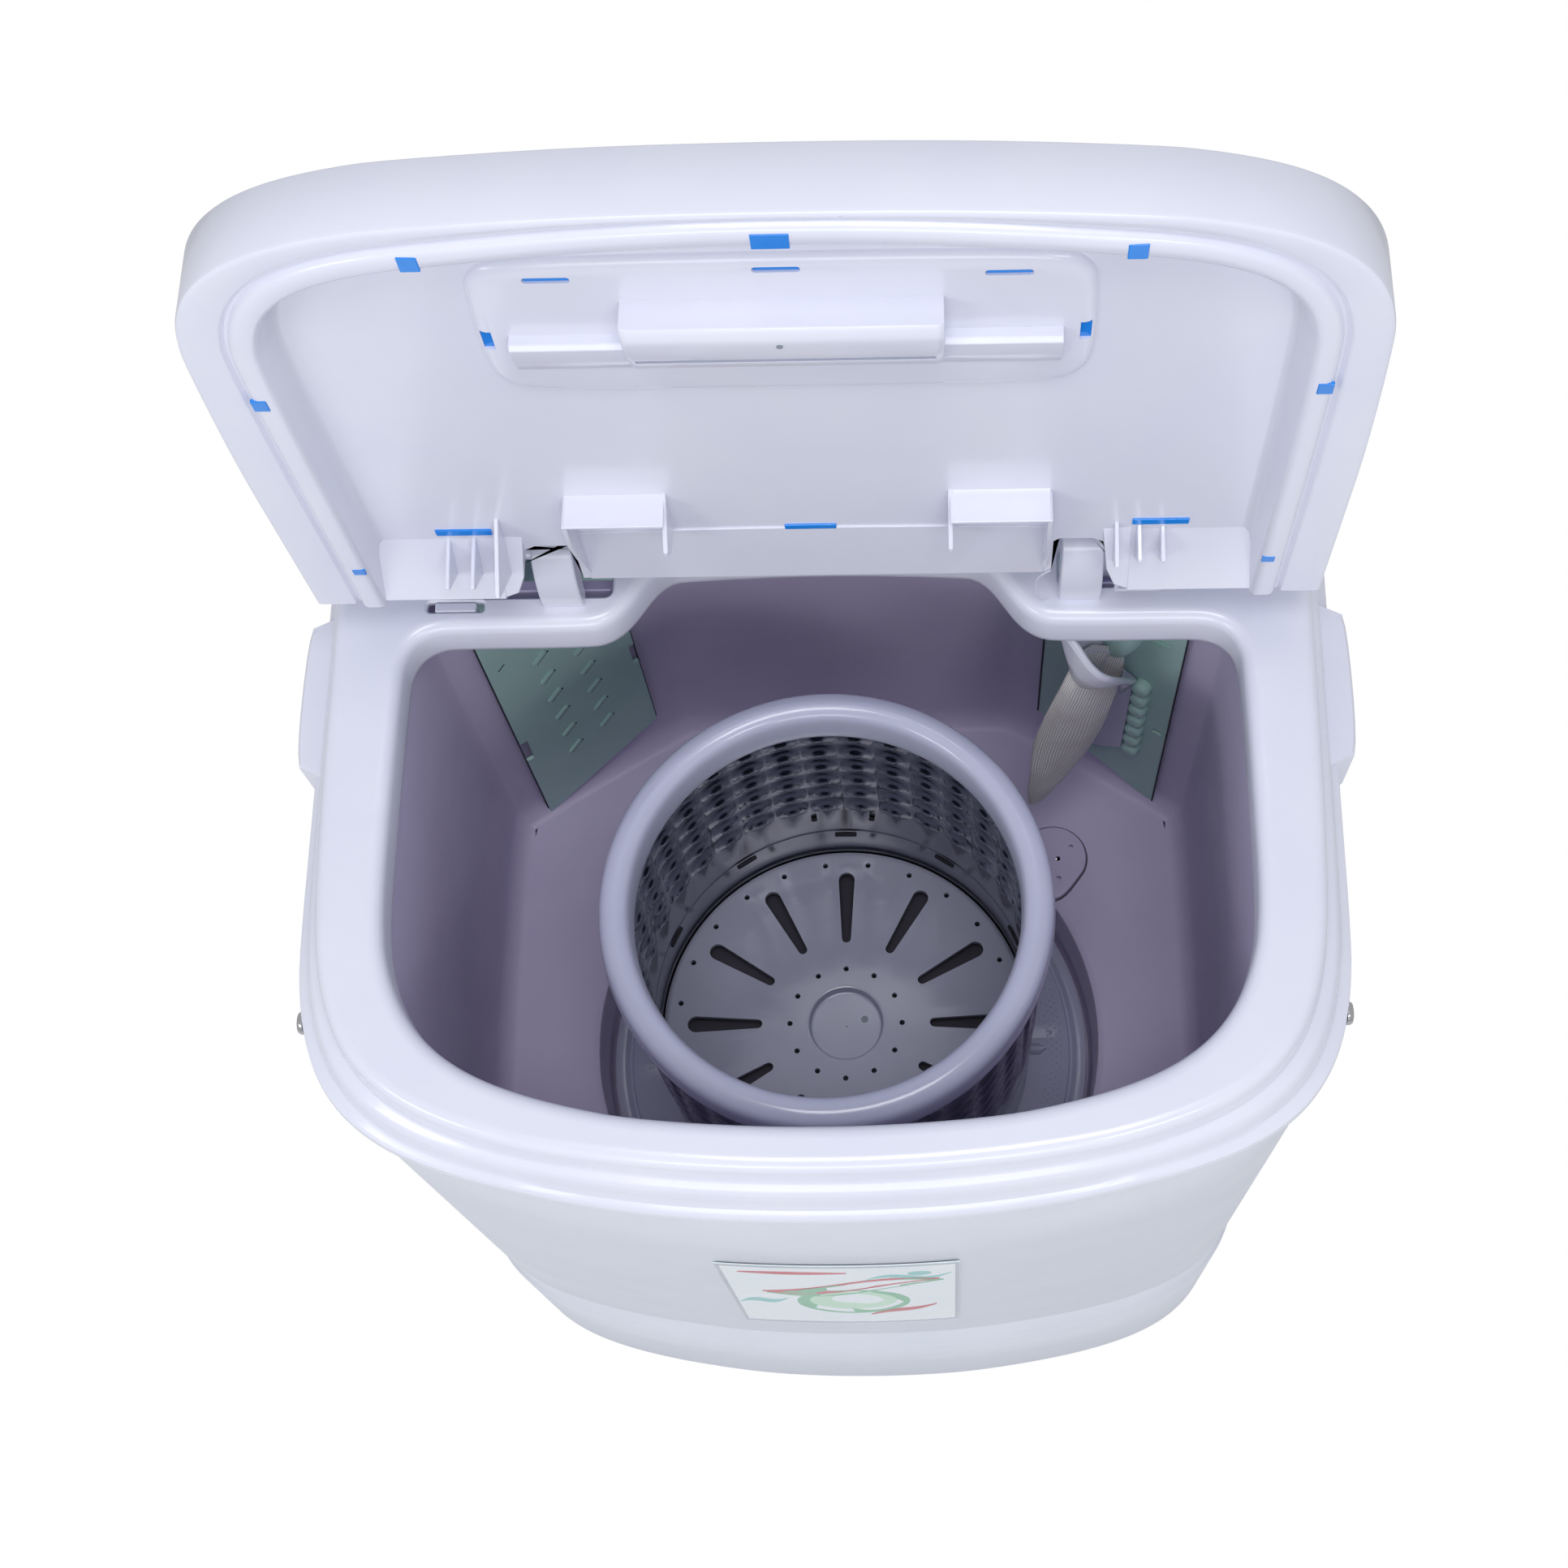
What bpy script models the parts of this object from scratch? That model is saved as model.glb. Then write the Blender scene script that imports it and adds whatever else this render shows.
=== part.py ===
"""Top load washing machine with a lift-out spin basket and a tilt-up lid.

Everything is modelled about the basket's axis at the height of the rim top, and hangs on
one empty there.  +Z is up, the front faces -Y.  Lengths are in metres.  The lid is open.
"""
import bpy
import bmesh
from math import asin, atan2, cos, degrees, pi, radians, sin
from mathutils import Matrix, Vector

# ---- driving dimensions ---------------------------------------------------------------
RIM_HEIGHT = 0.620          # rim top above the floor
HALF_WIDTH = 0.225          # rim top, at the hinge line
RIM_FRONT = 0.137           # basket axis to the rim's front edge
RIM_BACK = 0.204            # basket axis to the rim's back edge
SKIRT = 0.0125              # how far the skirt stands out from the rim's edge
AXIS_Y = -(RIM_BACK - RIM_FRONT) / 2
WALL = 0.0025               # moulded wall
GAP = 0.0003                # clearance between pieces that touch

CABINET_TOP, CABINET_BOTTOM = -0.0403, -0.4247
BASE_TOP, BASE_BOTTOM = -0.4250, -0.608
FLOOR = -RIM_HEIGHT

TUB_FRONT, TUB_BACK, TUB_SIDE = 0.1395, 0.1930, 0.195
TUB_MOUTH = 0.1285          # front of the tub where it enters the upper frame
TUB_TOP, TUB_SHOULDER, TUB_FLOOR = -0.0040, -0.060, -0.300
WELL_R, WELL_FLOOR = 0.1385, -0.3440
PANEL_EDGE = Vector((0.1755, 0.138))     # outer lower corner of a rear corner panel
PANEL_WIDTH, PANEL_TILT = 0.0773, atan2(0.041, -0.0655)
PANEL_TOP, PANEL_THICK = -0.022, 0.0022

RING_R, RING_BORE, RING_TOP = 0.1062, 0.0905, -0.0565
DRUM_R, DRUM_SHEET = 0.1015, 0.0010
DRUM_BOTTOM = -0.318
PLATE_Z, PLATE_R = -0.272, 0.1000
PULSATOR_R, PULSATOR_TOP = 0.1350, -0.333

PIVOT_Y, PIVOT_Z = 0.142, 0.0353         # lid hinge axis
LID_FACE, LID_RECESS, LID_BACK = 0.108, 0.1210, 0.1235
LID_COVER_BACK = 0.1370
LID_HALF, LID_BOTTOM, LID_TOP = 0.2205, 0.038, 0.320
ARM_IN, ARM_OUT = 0.105, 0.127

CONSOLE_FRONT, CONSOLE_BACK, CONSOLE_HALF = 0.153, 0.2160, 0.236
CONSOLE_LOW, CONSOLE_HIGH = 0.072, 0.098
SLOPE = atan2(CONSOLE_HIGH - CONSOLE_LOW, CONSOLE_BACK - CONSOLE_FRONT)
KNOB_X = 0.125
KNOB_R = 0.019

SHAFT_R = 0.006
PULLEY_R, MOTOR_PULLEY_R = 0.075, 0.020
PULLEY_LOW, PULLEY_HIGH = -0.4620, -0.4460
MOTOR_X, MOTOR_R = -0.118, 0.052
GROOVE = 0.006
DRAIN_X, DRAIN_Y = 0.118, 0.104
ROD_Y = 0.1995              # pull rod, between the tub and the cabinet

# ---- scene and helpers ----------------------------------------------------------------
for old in list(bpy.data.objects):
    bpy.data.objects.remove(old)

parts = bpy.data.collections.new("washing_machine")
cutters = bpy.data.collections.new("cutters")
bpy.context.scene.collection.children.link(parts)
bpy.context.scene.collection.children.link(cutters)

machine = bpy.data.objects.new("machine_axis", None)
machine.location = (0, AXIS_Y, RIM_HEIGHT)
machine["place"] = (0.0, 0.0, 0.0)
parts.objects.link(machine)


def joint_empty(name, location):
    """An empty on a joint's axis, placed in the machine's frame."""
    result = bpy.data.objects.new(name, None)
    result.location = location
    result["place"] = tuple(location)
    result.parent = machine
    parts.objects.link(result)
    return result


def material(name, colour, roughness, metallic=0.0):
    """One Principled material; the colour is given as sRGB hex."""
    result = bpy.data.materials.new(name)
    result.use_nodes = True
    channels = [int(colour[i:i + 2], 16) / 255 for i in (0, 2, 4)]
    linear = [(c / 12.92 if c < 0.04045 else ((c + 0.055) / 1.055) ** 2.4) for c in channels]
    shader = result.node_tree.nodes["Principled BSDF"]
    shader.inputs["Base Color"].default_value = (*linear, 1)
    shader.inputs["Roughness"].default_value = roughness
    shader.inputs["Metallic"].default_value = metallic
    result.diffuse_color = (*linear, 1)
    return result


WHITE = material("white_plastic", "D3D6E6", 0.28)
BODY = material("body_plastic", "CFD5E2", 0.30)
TUB = material("tub_plastic", "B9B6C6", 0.35)
BLUE = material("blue_cover", "1E90EE", 0.15)
GREEN = material("green_plastic", "8FC7B4", 0.35)
NET = material("filter_net", "D8D6D2", 0.90)
STEEL = material("stainless_steel", "B8BAC0", 0.22, 1.0)
SCREW = material("nickel_screws", "C9C9C9", 0.25, 1.0)
GREY = material("grey_plastic", "A9ABBE", 0.35)
RUBBER = material("rubber", "2B2B2E", 0.85)
DARK = material("black_plastic", "26272B", 0.45)
CAST = material("motor_steel", "8B8F96", 0.40, 1.0)
LABEL = material("label_film", "D9ECE6", 0.30)


def adopt(obj, mat, parent, hidden=False):
    """Give a new object its material, parent and collection."""
    obj.data.materials.clear()
    obj.data.materials.append(mat)
    for collection in list(obj.users_collection):
        collection.objects.unlink(obj)
    (cutters if hidden else parts).objects.link(obj)
    if hidden:
        obj.hide_render = True
        obj.display_type = "WIRE"
    if parent is not None:
        obj.parent = parent
        obj.location = obj.location - Vector(parent["place"])
    return obj


def from_bmesh(name, bm, mat, parent, hidden=False):
    bmesh.ops.recalc_face_normals(bm, faces=bm.faces)
    mesh = bpy.data.meshes.new(name)
    bm.to_mesh(mesh)
    bm.free()
    mesh.shade_smooth()
    mesh.set_sharp_from_angle(angle=radians(32))
    return adopt(bpy.data.objects.new(name, mesh), mat, parent, hidden)


def oriented(axis):
    """Turn a prism built along +Z so that it runs along the named axis.

    "y" keeps an (x, z) outline upright, "x" keeps a (y, z) outline upright.
    """
    if axis == "y":
        return Matrix(((1, 0, 0, 0), (0, 0, 1, 0), (0, 1, 0, 0), (0, 0, 0, 1)))
    if axis == "x":
        return Matrix(((0, 0, 1, 0), (1, 0, 0, 0), (0, 1, 0, 0), (0, 0, 0, 1)))
    return Matrix.Identity(4)


def prism(name, outline, low, high, mat, parent=machine, axis="z", hidden=False):
    """A flat outline drawn up between two planes."""
    bm = bmesh.new()
    face = bm.faces.new([bm.verts.new((x, y, low)) for x, y in outline])
    drawn = bmesh.ops.extrude_face_region(bm, geom=[face])["geom"]
    tops = [v for v in drawn if isinstance(v, bmesh.types.BMVert)]
    bmesh.ops.translate(bm, verts=tops, vec=(0, 0, high - low))
    bmesh.ops.transform(bm, matrix=oriented(axis), verts=bm.verts)
    return from_bmesh(name, bm, mat, parent, hidden)


def loft(name, rings, mat, parent=machine, hidden=False):
    """A closed solid through rings of points, each with the same number of points."""
    bm = bmesh.new()
    rows = [[bm.verts.new(point) for point in ring] for ring in rings]
    for lower, upper in zip(rows, rows[1:]):
        for i in range(len(lower)):
            j = (i + 1) % len(lower)
            bm.faces.new((lower[i], lower[j], upper[j], upper[i]))
    bm.faces.new(rows[0])
    bm.faces.new(rows[-1])
    return from_bmesh(name, bm, mat, parent, hidden)


def box(name, low, high, mat, parent=machine, hidden=False):
    bm = bmesh.new()
    bmesh.ops.create_cube(bm, size=1.0)
    size = Vector(high) - Vector(low)
    middle = (Vector(high) + Vector(low)) / 2
    shape = Matrix.Translation(middle) @ Matrix.Diagonal((*size, 1))
    bmesh.ops.transform(bm, matrix=shape, verts=bm.verts)
    return from_bmesh(name, bm, mat, parent, hidden)


def cylinder(name, centre, radius, low, high, mat, parent=machine, axis="z", sides=24,
             hidden=False, top_radius=None):
    """A cylinder or cone about an axis; centre holds the other two coordinates."""
    bm = bmesh.new()
    bmesh.ops.create_cone(bm, cap_ends=True, segments=sides, radius1=radius,
                          radius2=top_radius or radius, depth=high - low)
    shift = Matrix.Translation((centre[0], centre[1], (low + high) / 2))
    bmesh.ops.transform(bm, matrix=oriented(axis) @ shift, verts=bm.verts)
    return from_bmesh(name, bm, mat, parent, hidden)


def turned(name, profile, mat, parent=machine, steps=48, centre=(0, 0), hidden=False):
    """A closed (radius, height) profile turned about a vertical axis."""
    mesh = bpy.data.meshes.new(name)
    count = len(profile)
    mesh.from_pydata([(r, 0, z) for r, z in profile], [(i, (i + 1) % count)
                                                       for i in range(count)], [])
    obj = bpy.data.objects.new(name, mesh)
    screw = obj.modifiers.new("turn", "SCREW")
    screw.steps = screw.render_steps = steps
    screw.use_merge_vertices = True
    screw.merge_threshold = 0.00005
    obj.location = (*centre, 0)
    return adopt(obj, mat, parent, hidden)


def cut(obj, cutter, operation="DIFFERENCE"):
    boolean = obj.modifiers.new(operation.lower(), "BOOLEAN")
    boolean.operation = operation
    boolean.object = cutter
    boolean.solver = "EXACT"


def join(obj, other):
    cut(obj, other, "UNION")


# ---- outlines -------------------------------------------------------------------------
def arc(centre, radius, start, end, count):
    """Points on an arc, angles in degrees, both ends included."""
    angles = [radians(start + (end - start) * i / (count - 1)) for i in range(count)]
    return [(centre[0] + radius * cos(a), centre[1] + radius * sin(a)) for a in angles]


def curve(p0, p1, p2, p3, count):
    """Points along a cubic curve, without its first point."""
    points = []
    for i in range(1, count + 1):
        t = i / count
        weights = ((1 - t) ** 3, 3 * t * (1 - t) ** 2, 3 * t * t * (1 - t), t ** 3)
        points.append(tuple(sum(w * p[k] for w, p in zip(weights, (p0, p1, p2, p3)))
                            for k in (0, 1)))
    return points


def mirrored(half):
    """Close an outline whose right half starts and ends on the middle line."""
    inner = half[1:-1] if abs(half[0][0]) < 1e-9 else half
    left = [(-x, y) for x, y in reversed(inner)]
    return half + left


def grown(outline, amount):
    """Move a closed outline outward by an amount."""
    if not amount:
        return list(outline)
    area = sum(a[0] * b[1] - b[0] * a[1] for a, b in zip(outline, outline[1:] + outline[:1]))
    side = amount if area > 0 else -amount
    result = []
    for before, here, after in zip(outline[-1:] + outline[:-1], outline,
                                   outline[1:] + outline[:1]):
        one = (Vector(here) - Vector(before)).normalized()
        two = (Vector(after) - Vector(here)).normalized()
        normal = Vector((one.y + two.y, -one.x - two.x)).normalized()
        stretch = max(0.5, normal.dot(Vector((one.y, -one.x))))
        result.append(tuple(Vector(here) + normal * (side / stretch)))
    return result


def casing_outline(grow=0.0, swell=0.0):
    """Plan of the casing: the rim's edge at swell 0, the wider skirt at swell 1.

    It is square behind, round at the front corners and bowed in front.
    """
    back_r = 0.030
    rim = [(0.0, RIM_BACK)]
    rim += arc((HALF_WIDTH - back_r, RIM_BACK - back_r), back_r, 90, 0, 4)
    rim += [(0.2235, 0.060), (0.221, -0.015)]
    rim += curve((0.221, -0.015), (0.217, -0.085), (0.195, -0.110), (0.120, -0.127), 7)
    rim += [(0.062, -0.1345), (0.0, -RIM_FRONT)]
    skirt = [(0.0, RIM_BACK + SKIRT)]
    skirt += arc((HALF_WIDTH + SKIRT - back_r, RIM_BACK + SKIRT - back_r), back_r, 90, 0, 4)
    skirt += [(0.2360, 0.060), (0.2355, -0.030)]
    skirt += curve((0.2355, -0.030), (0.232, -0.100), (0.205, -0.122), (0.125, -0.138), 7)
    skirt += [(0.062, -0.1472), (0.0, -RIM_FRONT - SKIRT)]
    half = [tuple(Vector(a).lerp(Vector(b), swell)) for a, b in zip(rim, skirt)]
    return grown(mirrored(half), grow)


def tub_outline(grow=0.0, front=TUB_FRONT):
    """Plan of the tub's inside, with its two rear corners cut off."""
    half = [(0.0, TUB_BACK), (0.090, TUB_BACK), (0.098, TUB_BACK - 0.0018)]
    half += [(TUB_SIDE - 0.006, 0.1345), (TUB_SIDE - 0.001, 0.1270), (TUB_SIDE, 0.030)]
    half += [(TUB_SIDE - 0.001, -0.040)]
    half += curve((TUB_SIDE - 0.001, -0.040), (0.190, -0.100), (0.150, 0.017 - front),
                  (0.085, 0.006 - front), 6)
    half += [(0.045, 0.001 - front), (0.0, -front)]
    return grown(mirrored(half), grow)


def mouth_outline(grow=0.0):
    """Plan of the mouth in the upper frame, wider in front and narrow at the back."""
    half = [(0.0, 0.1490), (0.066, 0.1465)]
    half += curve((0.066, 0.1465), (0.084, 0.1450), (0.084, 0.114), (0.108, 0.1130), 5)
    half += [(0.170, 0.1130)]
    half += curve((0.170, 0.1130), (0.185, 0.1130), (0.191, 0.104), (0.191, 0.090), 3)
    half += [(0.1915, 0.000), (0.190, -0.031)]
    half += curve((0.190, -0.031), (0.181, -0.085), (0.150, -0.100), (0.080, -0.1125), 6)
    half += [(0.0, -0.117)]
    return grown(mirrored(half), grow)


def lid_outline(grow=0.0, bottom=LID_BOTTOM):
    """Outline (x, z) of the open lid."""
    half = [(LID_HALF - 0.004, bottom), (LID_HALF, bottom + 0.004), (LID_HALF, 0.160)]
    half += [(LID_HALF - 0.003, 0.235)]
    half += curve((LID_HALF - 0.003, 0.235), (0.213, 0.285), (0.187, 0.305),
                  (0.130, LID_TOP - 0.006), 6)
    half += [(0.065, LID_TOP - 0.001), (0.0, LID_TOP)]
    left = [(-x, z) for x, z in reversed(half[:-1])]
    return grown(half + left, grow)


def rounded(half_x, low_y, high_y, radius, count=4):
    """A rectangle about the middle line, with round corners."""
    x = half_x - radius
    points = arc((x, high_y - radius), radius, 90, 0, count)
    points += arc((x, low_y + radius), radius, 0, -90, count)
    return points + [(-px, py) for px, py in reversed(points)]


def at_height(outline, z):
    return [(x, y, z) for x, y in outline]


# ---- casings --------------------------------------------------------------------------
def casing(sections):
    """Rings of the casing's plan at (height, swell, growth) stations."""
    return [at_height(casing_outline(grow, swell), z) for z, swell, grow in sections]


def make_cabinet():
    wall = loft("cabinet", casing([(CABINET_TOP, 1, -0.0035),
                                   (CABINET_BOTTOM, 1, -0.0035)]), BODY)
    cut(wall, loft("cabinet_inside", casing([(CABINET_TOP + 0.01, 1, -0.0060),
                                             (CABINET_BOTTOM - 0.01, 1, -0.0060)]),
                   BODY, hidden=True))
    window = box("service_window", (-0.120, RIM_BACK, -0.400), (0.120, RIM_BACK + 0.02, -0.130),
                 BODY, hidden=True)
    cut(wall, window)
    back = RIM_BACK + SKIRT - 0.0035 + GAP
    box("rear_cover", (-0.132, back, -0.412), (0.132, back + 0.0020, -0.118), BODY)


def make_base():
    """The skirt under the cabinet, with a boss over each foot, and its bottom plate."""
    base = loft("base_frame", casing([(BASE_TOP, 1, -0.0035), (BASE_TOP - 0.045, 1, -0.0010),
                                      (BASE_BOTTOM, 1, -0.0005)]), BODY)
    cut(base, loft("base_inside", casing([(BASE_TOP + 0.01, 1, -0.0065),
                                          (BASE_BOTTOM - 0.01, 1, -0.0040)]),
                   BODY, hidden=True))
    for side in (-1, 1):
        for end, x, y in (("front", 0.190, -0.090), ("rear", 0.2125, 0.1915)):
            boss = cylinder(f"boss_{end}_{side}", (side * x, y), 0.022, BASE_BOTTOM,
                            BASE_BOTTOM + 0.030, BODY, sides=16, hidden=True)
            join(base, boss)
            word = "left" if side < 0 else "right"
            cylinder(f"foot_{end}_{word}", (side * x, y), 0.015, FLOOR, BASE_BOTTOM - GAP,
                     RUBBER, sides=20, top_radius=0.018)
    cut(base, cylinder("drain_way", (DRAIN_Y, -0.500), 0.0165, 0.200, 0.260, BODY,
                       axis="x", sides=20, hidden=True))
    cut(base, cylinder("gland_way", (0.150, -0.560), 0.0088, 0.190, 0.230, BODY, axis="y",
                       sides=16, hidden=True))
    cylinder("cord_gland", (0.150, -0.560), 0.0085, RIM_BACK - 0.004, RIM_BACK + SKIRT, DARK,
             axis="y", sides=16)
    inset = [(x * 0.80, y * 0.78 + 0.010) for x, y in casing_outline()]
    prism("bottom_cover", inset, -0.604, -0.601, BODY)


def make_upper_frame():
    """The top casing: rim, stepped skirt, mouth lip and the two hinge arms."""
    frame = loft("upper_frame", casing([
        (0.0000, 0.00, -0.0040), (-0.0012, 0.00, -0.0012), (-0.0045, 0.00, 0.0),
        (-0.0170, 0.12, 0.0), (-0.0215, 0.50, 0.0), (-0.0330, 0.68, 0.0),
        (-0.0370, 1.00, 0.0), (-0.0480, 1.00, 0.0), (-0.0520, 1.00, -0.0015)]), WHITE)
    hollow = loft("frame_hollow", casing([
        (-0.0035, 0.00, -0.0035), (-0.0190, 0.12, -0.0030), (-0.0240, 0.50, -0.0030),
        (-0.0370, 0.68, -0.0030), (-0.0400, 1.00, -0.0030), (-0.0600, 1.00, -0.0030)]),
        WHITE, hidden=True)
    lip = prism("mouth_lip", mouth_outline(0.0030), -0.0245, 0.0, WHITE, hidden=True)
    cut(hollow, lip)
    cut(frame, hollow)
    cut(frame, prism("mouth", mouth_outline(), -0.070, 0.020, WHITE, hidden=True))
    for side in (-1, 1):
        low, high = sorted((side * 0.0965, side * 0.1600))
        cut(frame, box(f"arm_pocket_{side}", (low, 0.1325, -0.030), (high, 0.1500, 0.010),
                       WHITE, hidden=True))
    cut(frame, cylinder("rod_way", (DRAIN_X, ROD_Y), 0.0045, -0.030, 0.020, WHITE, sides=16,
                        hidden=True))
    make_hinge_arms(frame)


def make_hinge_arms(frame):
    """Two goose-neck arms on the rim, each with a pin for the lid."""
    outline = [(0.1225, -0.0015), (0.1215, 0.0150), (0.1255, 0.0330), (0.1315, 0.0415)]
    outline += arc((PIVOT_Y, PIVOT_Z), 0.0085, 125, -115, 9)
    outline += [(0.1345, 0.0200), (0.1308, 0.0080), (0.1305, -0.0015)]
    for side in (-1, 1):
        low, high = sorted((side * ARM_IN, side * ARM_OUT))
        join(frame, prism(f"hinge_arm_{side}", outline, low, high, WHITE, axis="x",
                          hidden=True))
        cut(frame, cylinder(f"arm_bore_{side}", (PIVOT_Y, PIVOT_Z), 0.0033, low - 0.01,
                            high + 0.01, WHITE, axis="x", sides=16, hidden=True))
        word = "left" if side < 0 else "right"
        low, high = sorted((side * (ARM_IN - 0.0065), side * (ARM_OUT + 0.002)))
        cylinder(f"hinge_pin_{word}", (PIVOT_Y, PIVOT_Z), 0.0030, low, high, WHITE, axis="x",
                 sides=16)


def make_side_fittings():
    """A carry handle and a casing screw on each side."""
    for side, word in ((-1, "left"), (1, "right")):
        skin = side * (HALF_WIDTH + SKIRT + 0.0003)
        edge = side * 0.2450
        low, high = sorted((skin, edge))
        handle = prism(f"handle_{word}", [(skin, 0.050), (skin, 0.138), (edge, 0.124),
                                          (edge, 0.064)], -0.068, -0.030, WHITE)
        under = box(f"finger_recess_{word}", (min(skin - side * 0.01, edge - side * 0.0025),
                                              0.063, -0.080),
                    (max(skin - side * 0.01, edge - side * 0.0025), 0.125, -0.0325), WHITE,
                    hidden=True)
        cut(handle, under)
        start, end = sorted((side * 0.2333, side * 0.2375))
        cylinder(f"frame_screw_{word}", (-0.060, -0.0425), 0.0052, start, end, SCREW,
                 axis="x", sides=16)


def tub_rings(grow, low, top):
    """The tub's section: straight below its shoulder, drawn in at the front above it."""
    return [at_height(tub_outline(grow), low), at_height(tub_outline(grow), TUB_SHOULDER),
            at_height(tub_outline(grow, TUB_MOUTH), -0.020),
            at_height(tub_outline(grow, TUB_MOUTH), top)]


def make_tub():
    """The wash tub: straight walls, drawn in under the rim, and a floor with a round well."""
    tub = loft("wash_tub", tub_rings(WALL, TUB_FLOOR - WALL, TUB_TOP), TUB)
    well = cylinder("well_shell", (0, 0), WELL_R + WALL, WELL_FLOOR - WALL, TUB_FLOOR - 0.001,
                    TUB, sides=48, hidden=True)
    join(tub, well)
    cut(tub, loft("tub_inside", tub_rings(0.0, TUB_FLOOR, 0.020), TUB, hidden=True))
    cut(tub, cylinder("well", (0, 0), WELL_R, WELL_FLOOR, -0.200, TUB, sides=48, hidden=True))
    cut(tub, cylinder("shaft_way", (0, 0), 0.0115, -0.400, -0.320, TUB, sides=24,
                      hidden=True))
    cut(tub, cylinder("drain_hole", (DRAIN_X, DRAIN_Y), 0.0100, -0.330, -0.280, TUB,
                      sides=20, hidden=True))


def make_label():
    """A flat label on the bowed front."""
    def bow(x):
        return -RIM_FRONT - SKIRT + 0.0035 + 0.0023 * (x / 0.062) ** 2
    steps = [-0.060 + 0.120 * i / 8 for i in range(9)]
    outline = [(x, bow(x) - GAP) for x in steps]
    outline += [(x, bow(x) - GAP - 0.0006) for x in reversed(steps)]
    prism("front_label", outline, -0.370, -0.178, LABEL)


# ---- lid ------------------------------------------------------------------------------
def make_lid():
    """White inner panel, blue outer cover and the handle cup between them."""
    pivot = joint_empty("lid_axis", (0, PIVOT_Y, PIVOT_Z))
    panel = prism("lid_panel", lid_outline(), LID_FACE, LID_BACK, WHITE, pivot, axis="y")
    cut(panel, prism("lid_tray", lid_outline(-0.0175, 0.012), LID_FACE - 0.01, LID_RECESS,
                     WHITE, pivot, axis="y", hidden=True))
    rim_back = prism("lid_rim_back", lid_outline(-0.0025), LID_FACE + 0.0025, LID_BACK + 0.01,
                     WHITE, pivot, axis="y", hidden=True)
    cut(rim_back, prism("lid_rim_keep", lid_outline(-0.0150, 0.012), LID_FACE,
                        LID_BACK + 0.02, WHITE, pivot, axis="y", hidden=True))
    cut(panel, rim_back)
    cut(panel, box("apron_notch", (-0.139, LID_FACE - 0.01, 0.0), (0.139, LID_BACK + 0.02,
                                                                 0.062),
                   WHITE, pivot, hidden=True))
    join(panel, box("apron", (-0.1035, LID_RECESS, 0.033), (0.1035, LID_BACK, 0.070), WHITE,
                    pivot, hidden=True))
    for side in (-1, 1):
        low, high = sorted((side * 0.0575, side * 0.1035))
        join(panel, box(f"hood_top_{side}", (low, 0.107, 0.106), (high, LID_RECESS + 0.001,
                                                                 0.108),
                        WHITE, pivot, hidden=True))
        low, high = sorted((side * 0.1012, side * 0.1035))
        wall = [(0.107, 0.108), (LID_BACK - 0.001, 0.108), (LID_BACK - 0.001, 0.050)]
        wall += arc((PIVOT_Y, PIVOT_Z), 0.0070, 100, -100, 8)
        wall += [(LID_RECESS, 0.033), (0.1185, 0.034), (0.108, 0.075)]
        join(panel, prism(f"hood_wall_{side}", wall, low, high, WHITE, pivot, axis="x",
                          hidden=True))
        cut(panel, cylinder(f"lid_bore_{side}", (PIVOT_Y, PIVOT_Z), 0.0033, low - 0.01,
                            high + 0.01, WHITE, pivot, axis="x", sides=16, hidden=True))
        low, high = sorted((side * 0.0575, side * 0.0592))
        gusset = [(0.108, 0.107), (LID_RECESS + 0.001, 0.107), (LID_RECESS + 0.001, 0.060)]
        join(panel, prism(f"gusset_{side}", gusset, low, high, WHITE, pivot, axis="x",
                          hidden=True))
    join(panel, box("stop_block", (0.1300, LID_RECESS - 0.001, 0.0145), (0.1575, 0.1310,
                                                                       0.0700),
                    WHITE, pivot, hidden=True))
    cut(panel, prism("cup_way", rounded(0.111, 0.201, 0.279, 0.012), LID_RECESS - 0.01,
                     LID_BACK + 0.01, WHITE, pivot, axis="y", hidden=True))

    cup = prism("lid_handle_cup", rounded(0.1105, 0.2015, 0.2785, 0.012), 0.1185,
                LID_RECESS, WHITE, pivot, axis="y")
    join(cup, prism("cup_block", rounded(0.056, 0.214, 0.256, 0.006), 0.103, 0.1190,
                    WHITE, pivot, axis="y", hidden=True))
    cut(cup, prism("cup_hollow", rounded(0.054, 0.216, 0.254, 0.005), 0.105, 0.130,
                   WHITE, pivot, axis="y", hidden=True))

    cover = prism("lid_cover", lid_outline(-0.0030, 0.041), LID_BACK + GAP, LID_COVER_BACK,
                  BLUE, pivot, axis="y")
    cut(cover, prism("cover_inside", lid_outline(-0.0055, 0.0435), LID_BACK - 0.01,
                     LID_COVER_BACK - 0.0025, BLUE, pivot, axis="y", hidden=True))
    cut(cover, box("cover_notch", (-0.162, LID_BACK - 0.01, 0.0), (0.162, 0.20, 0.062),
                   BLUE, pivot, hidden=True))
    cut(cover, prism("cover_cup", rounded(0.056, 0.214, 0.256, 0.006), LID_BACK,
                     LID_COVER_BACK + 0.01, BLUE, pivot, axis="y", hidden=True))


# ---- console --------------------------------------------------------------------------
def slanted_top(drop):
    """Section (y, z) of everything above the console's sloping top."""
    return [(0.10, CONSOLE_LOW - drop - (CONSOLE_FRONT - 0.10) * sin(SLOPE) / cos(SLOPE)),
            (0.26, CONSOLE_HIGH - drop + (0.26 - CONSOLE_BACK) * sin(SLOPE) / cos(SLOPE)),
            (0.26, 0.20), (0.10, 0.20)]


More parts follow.
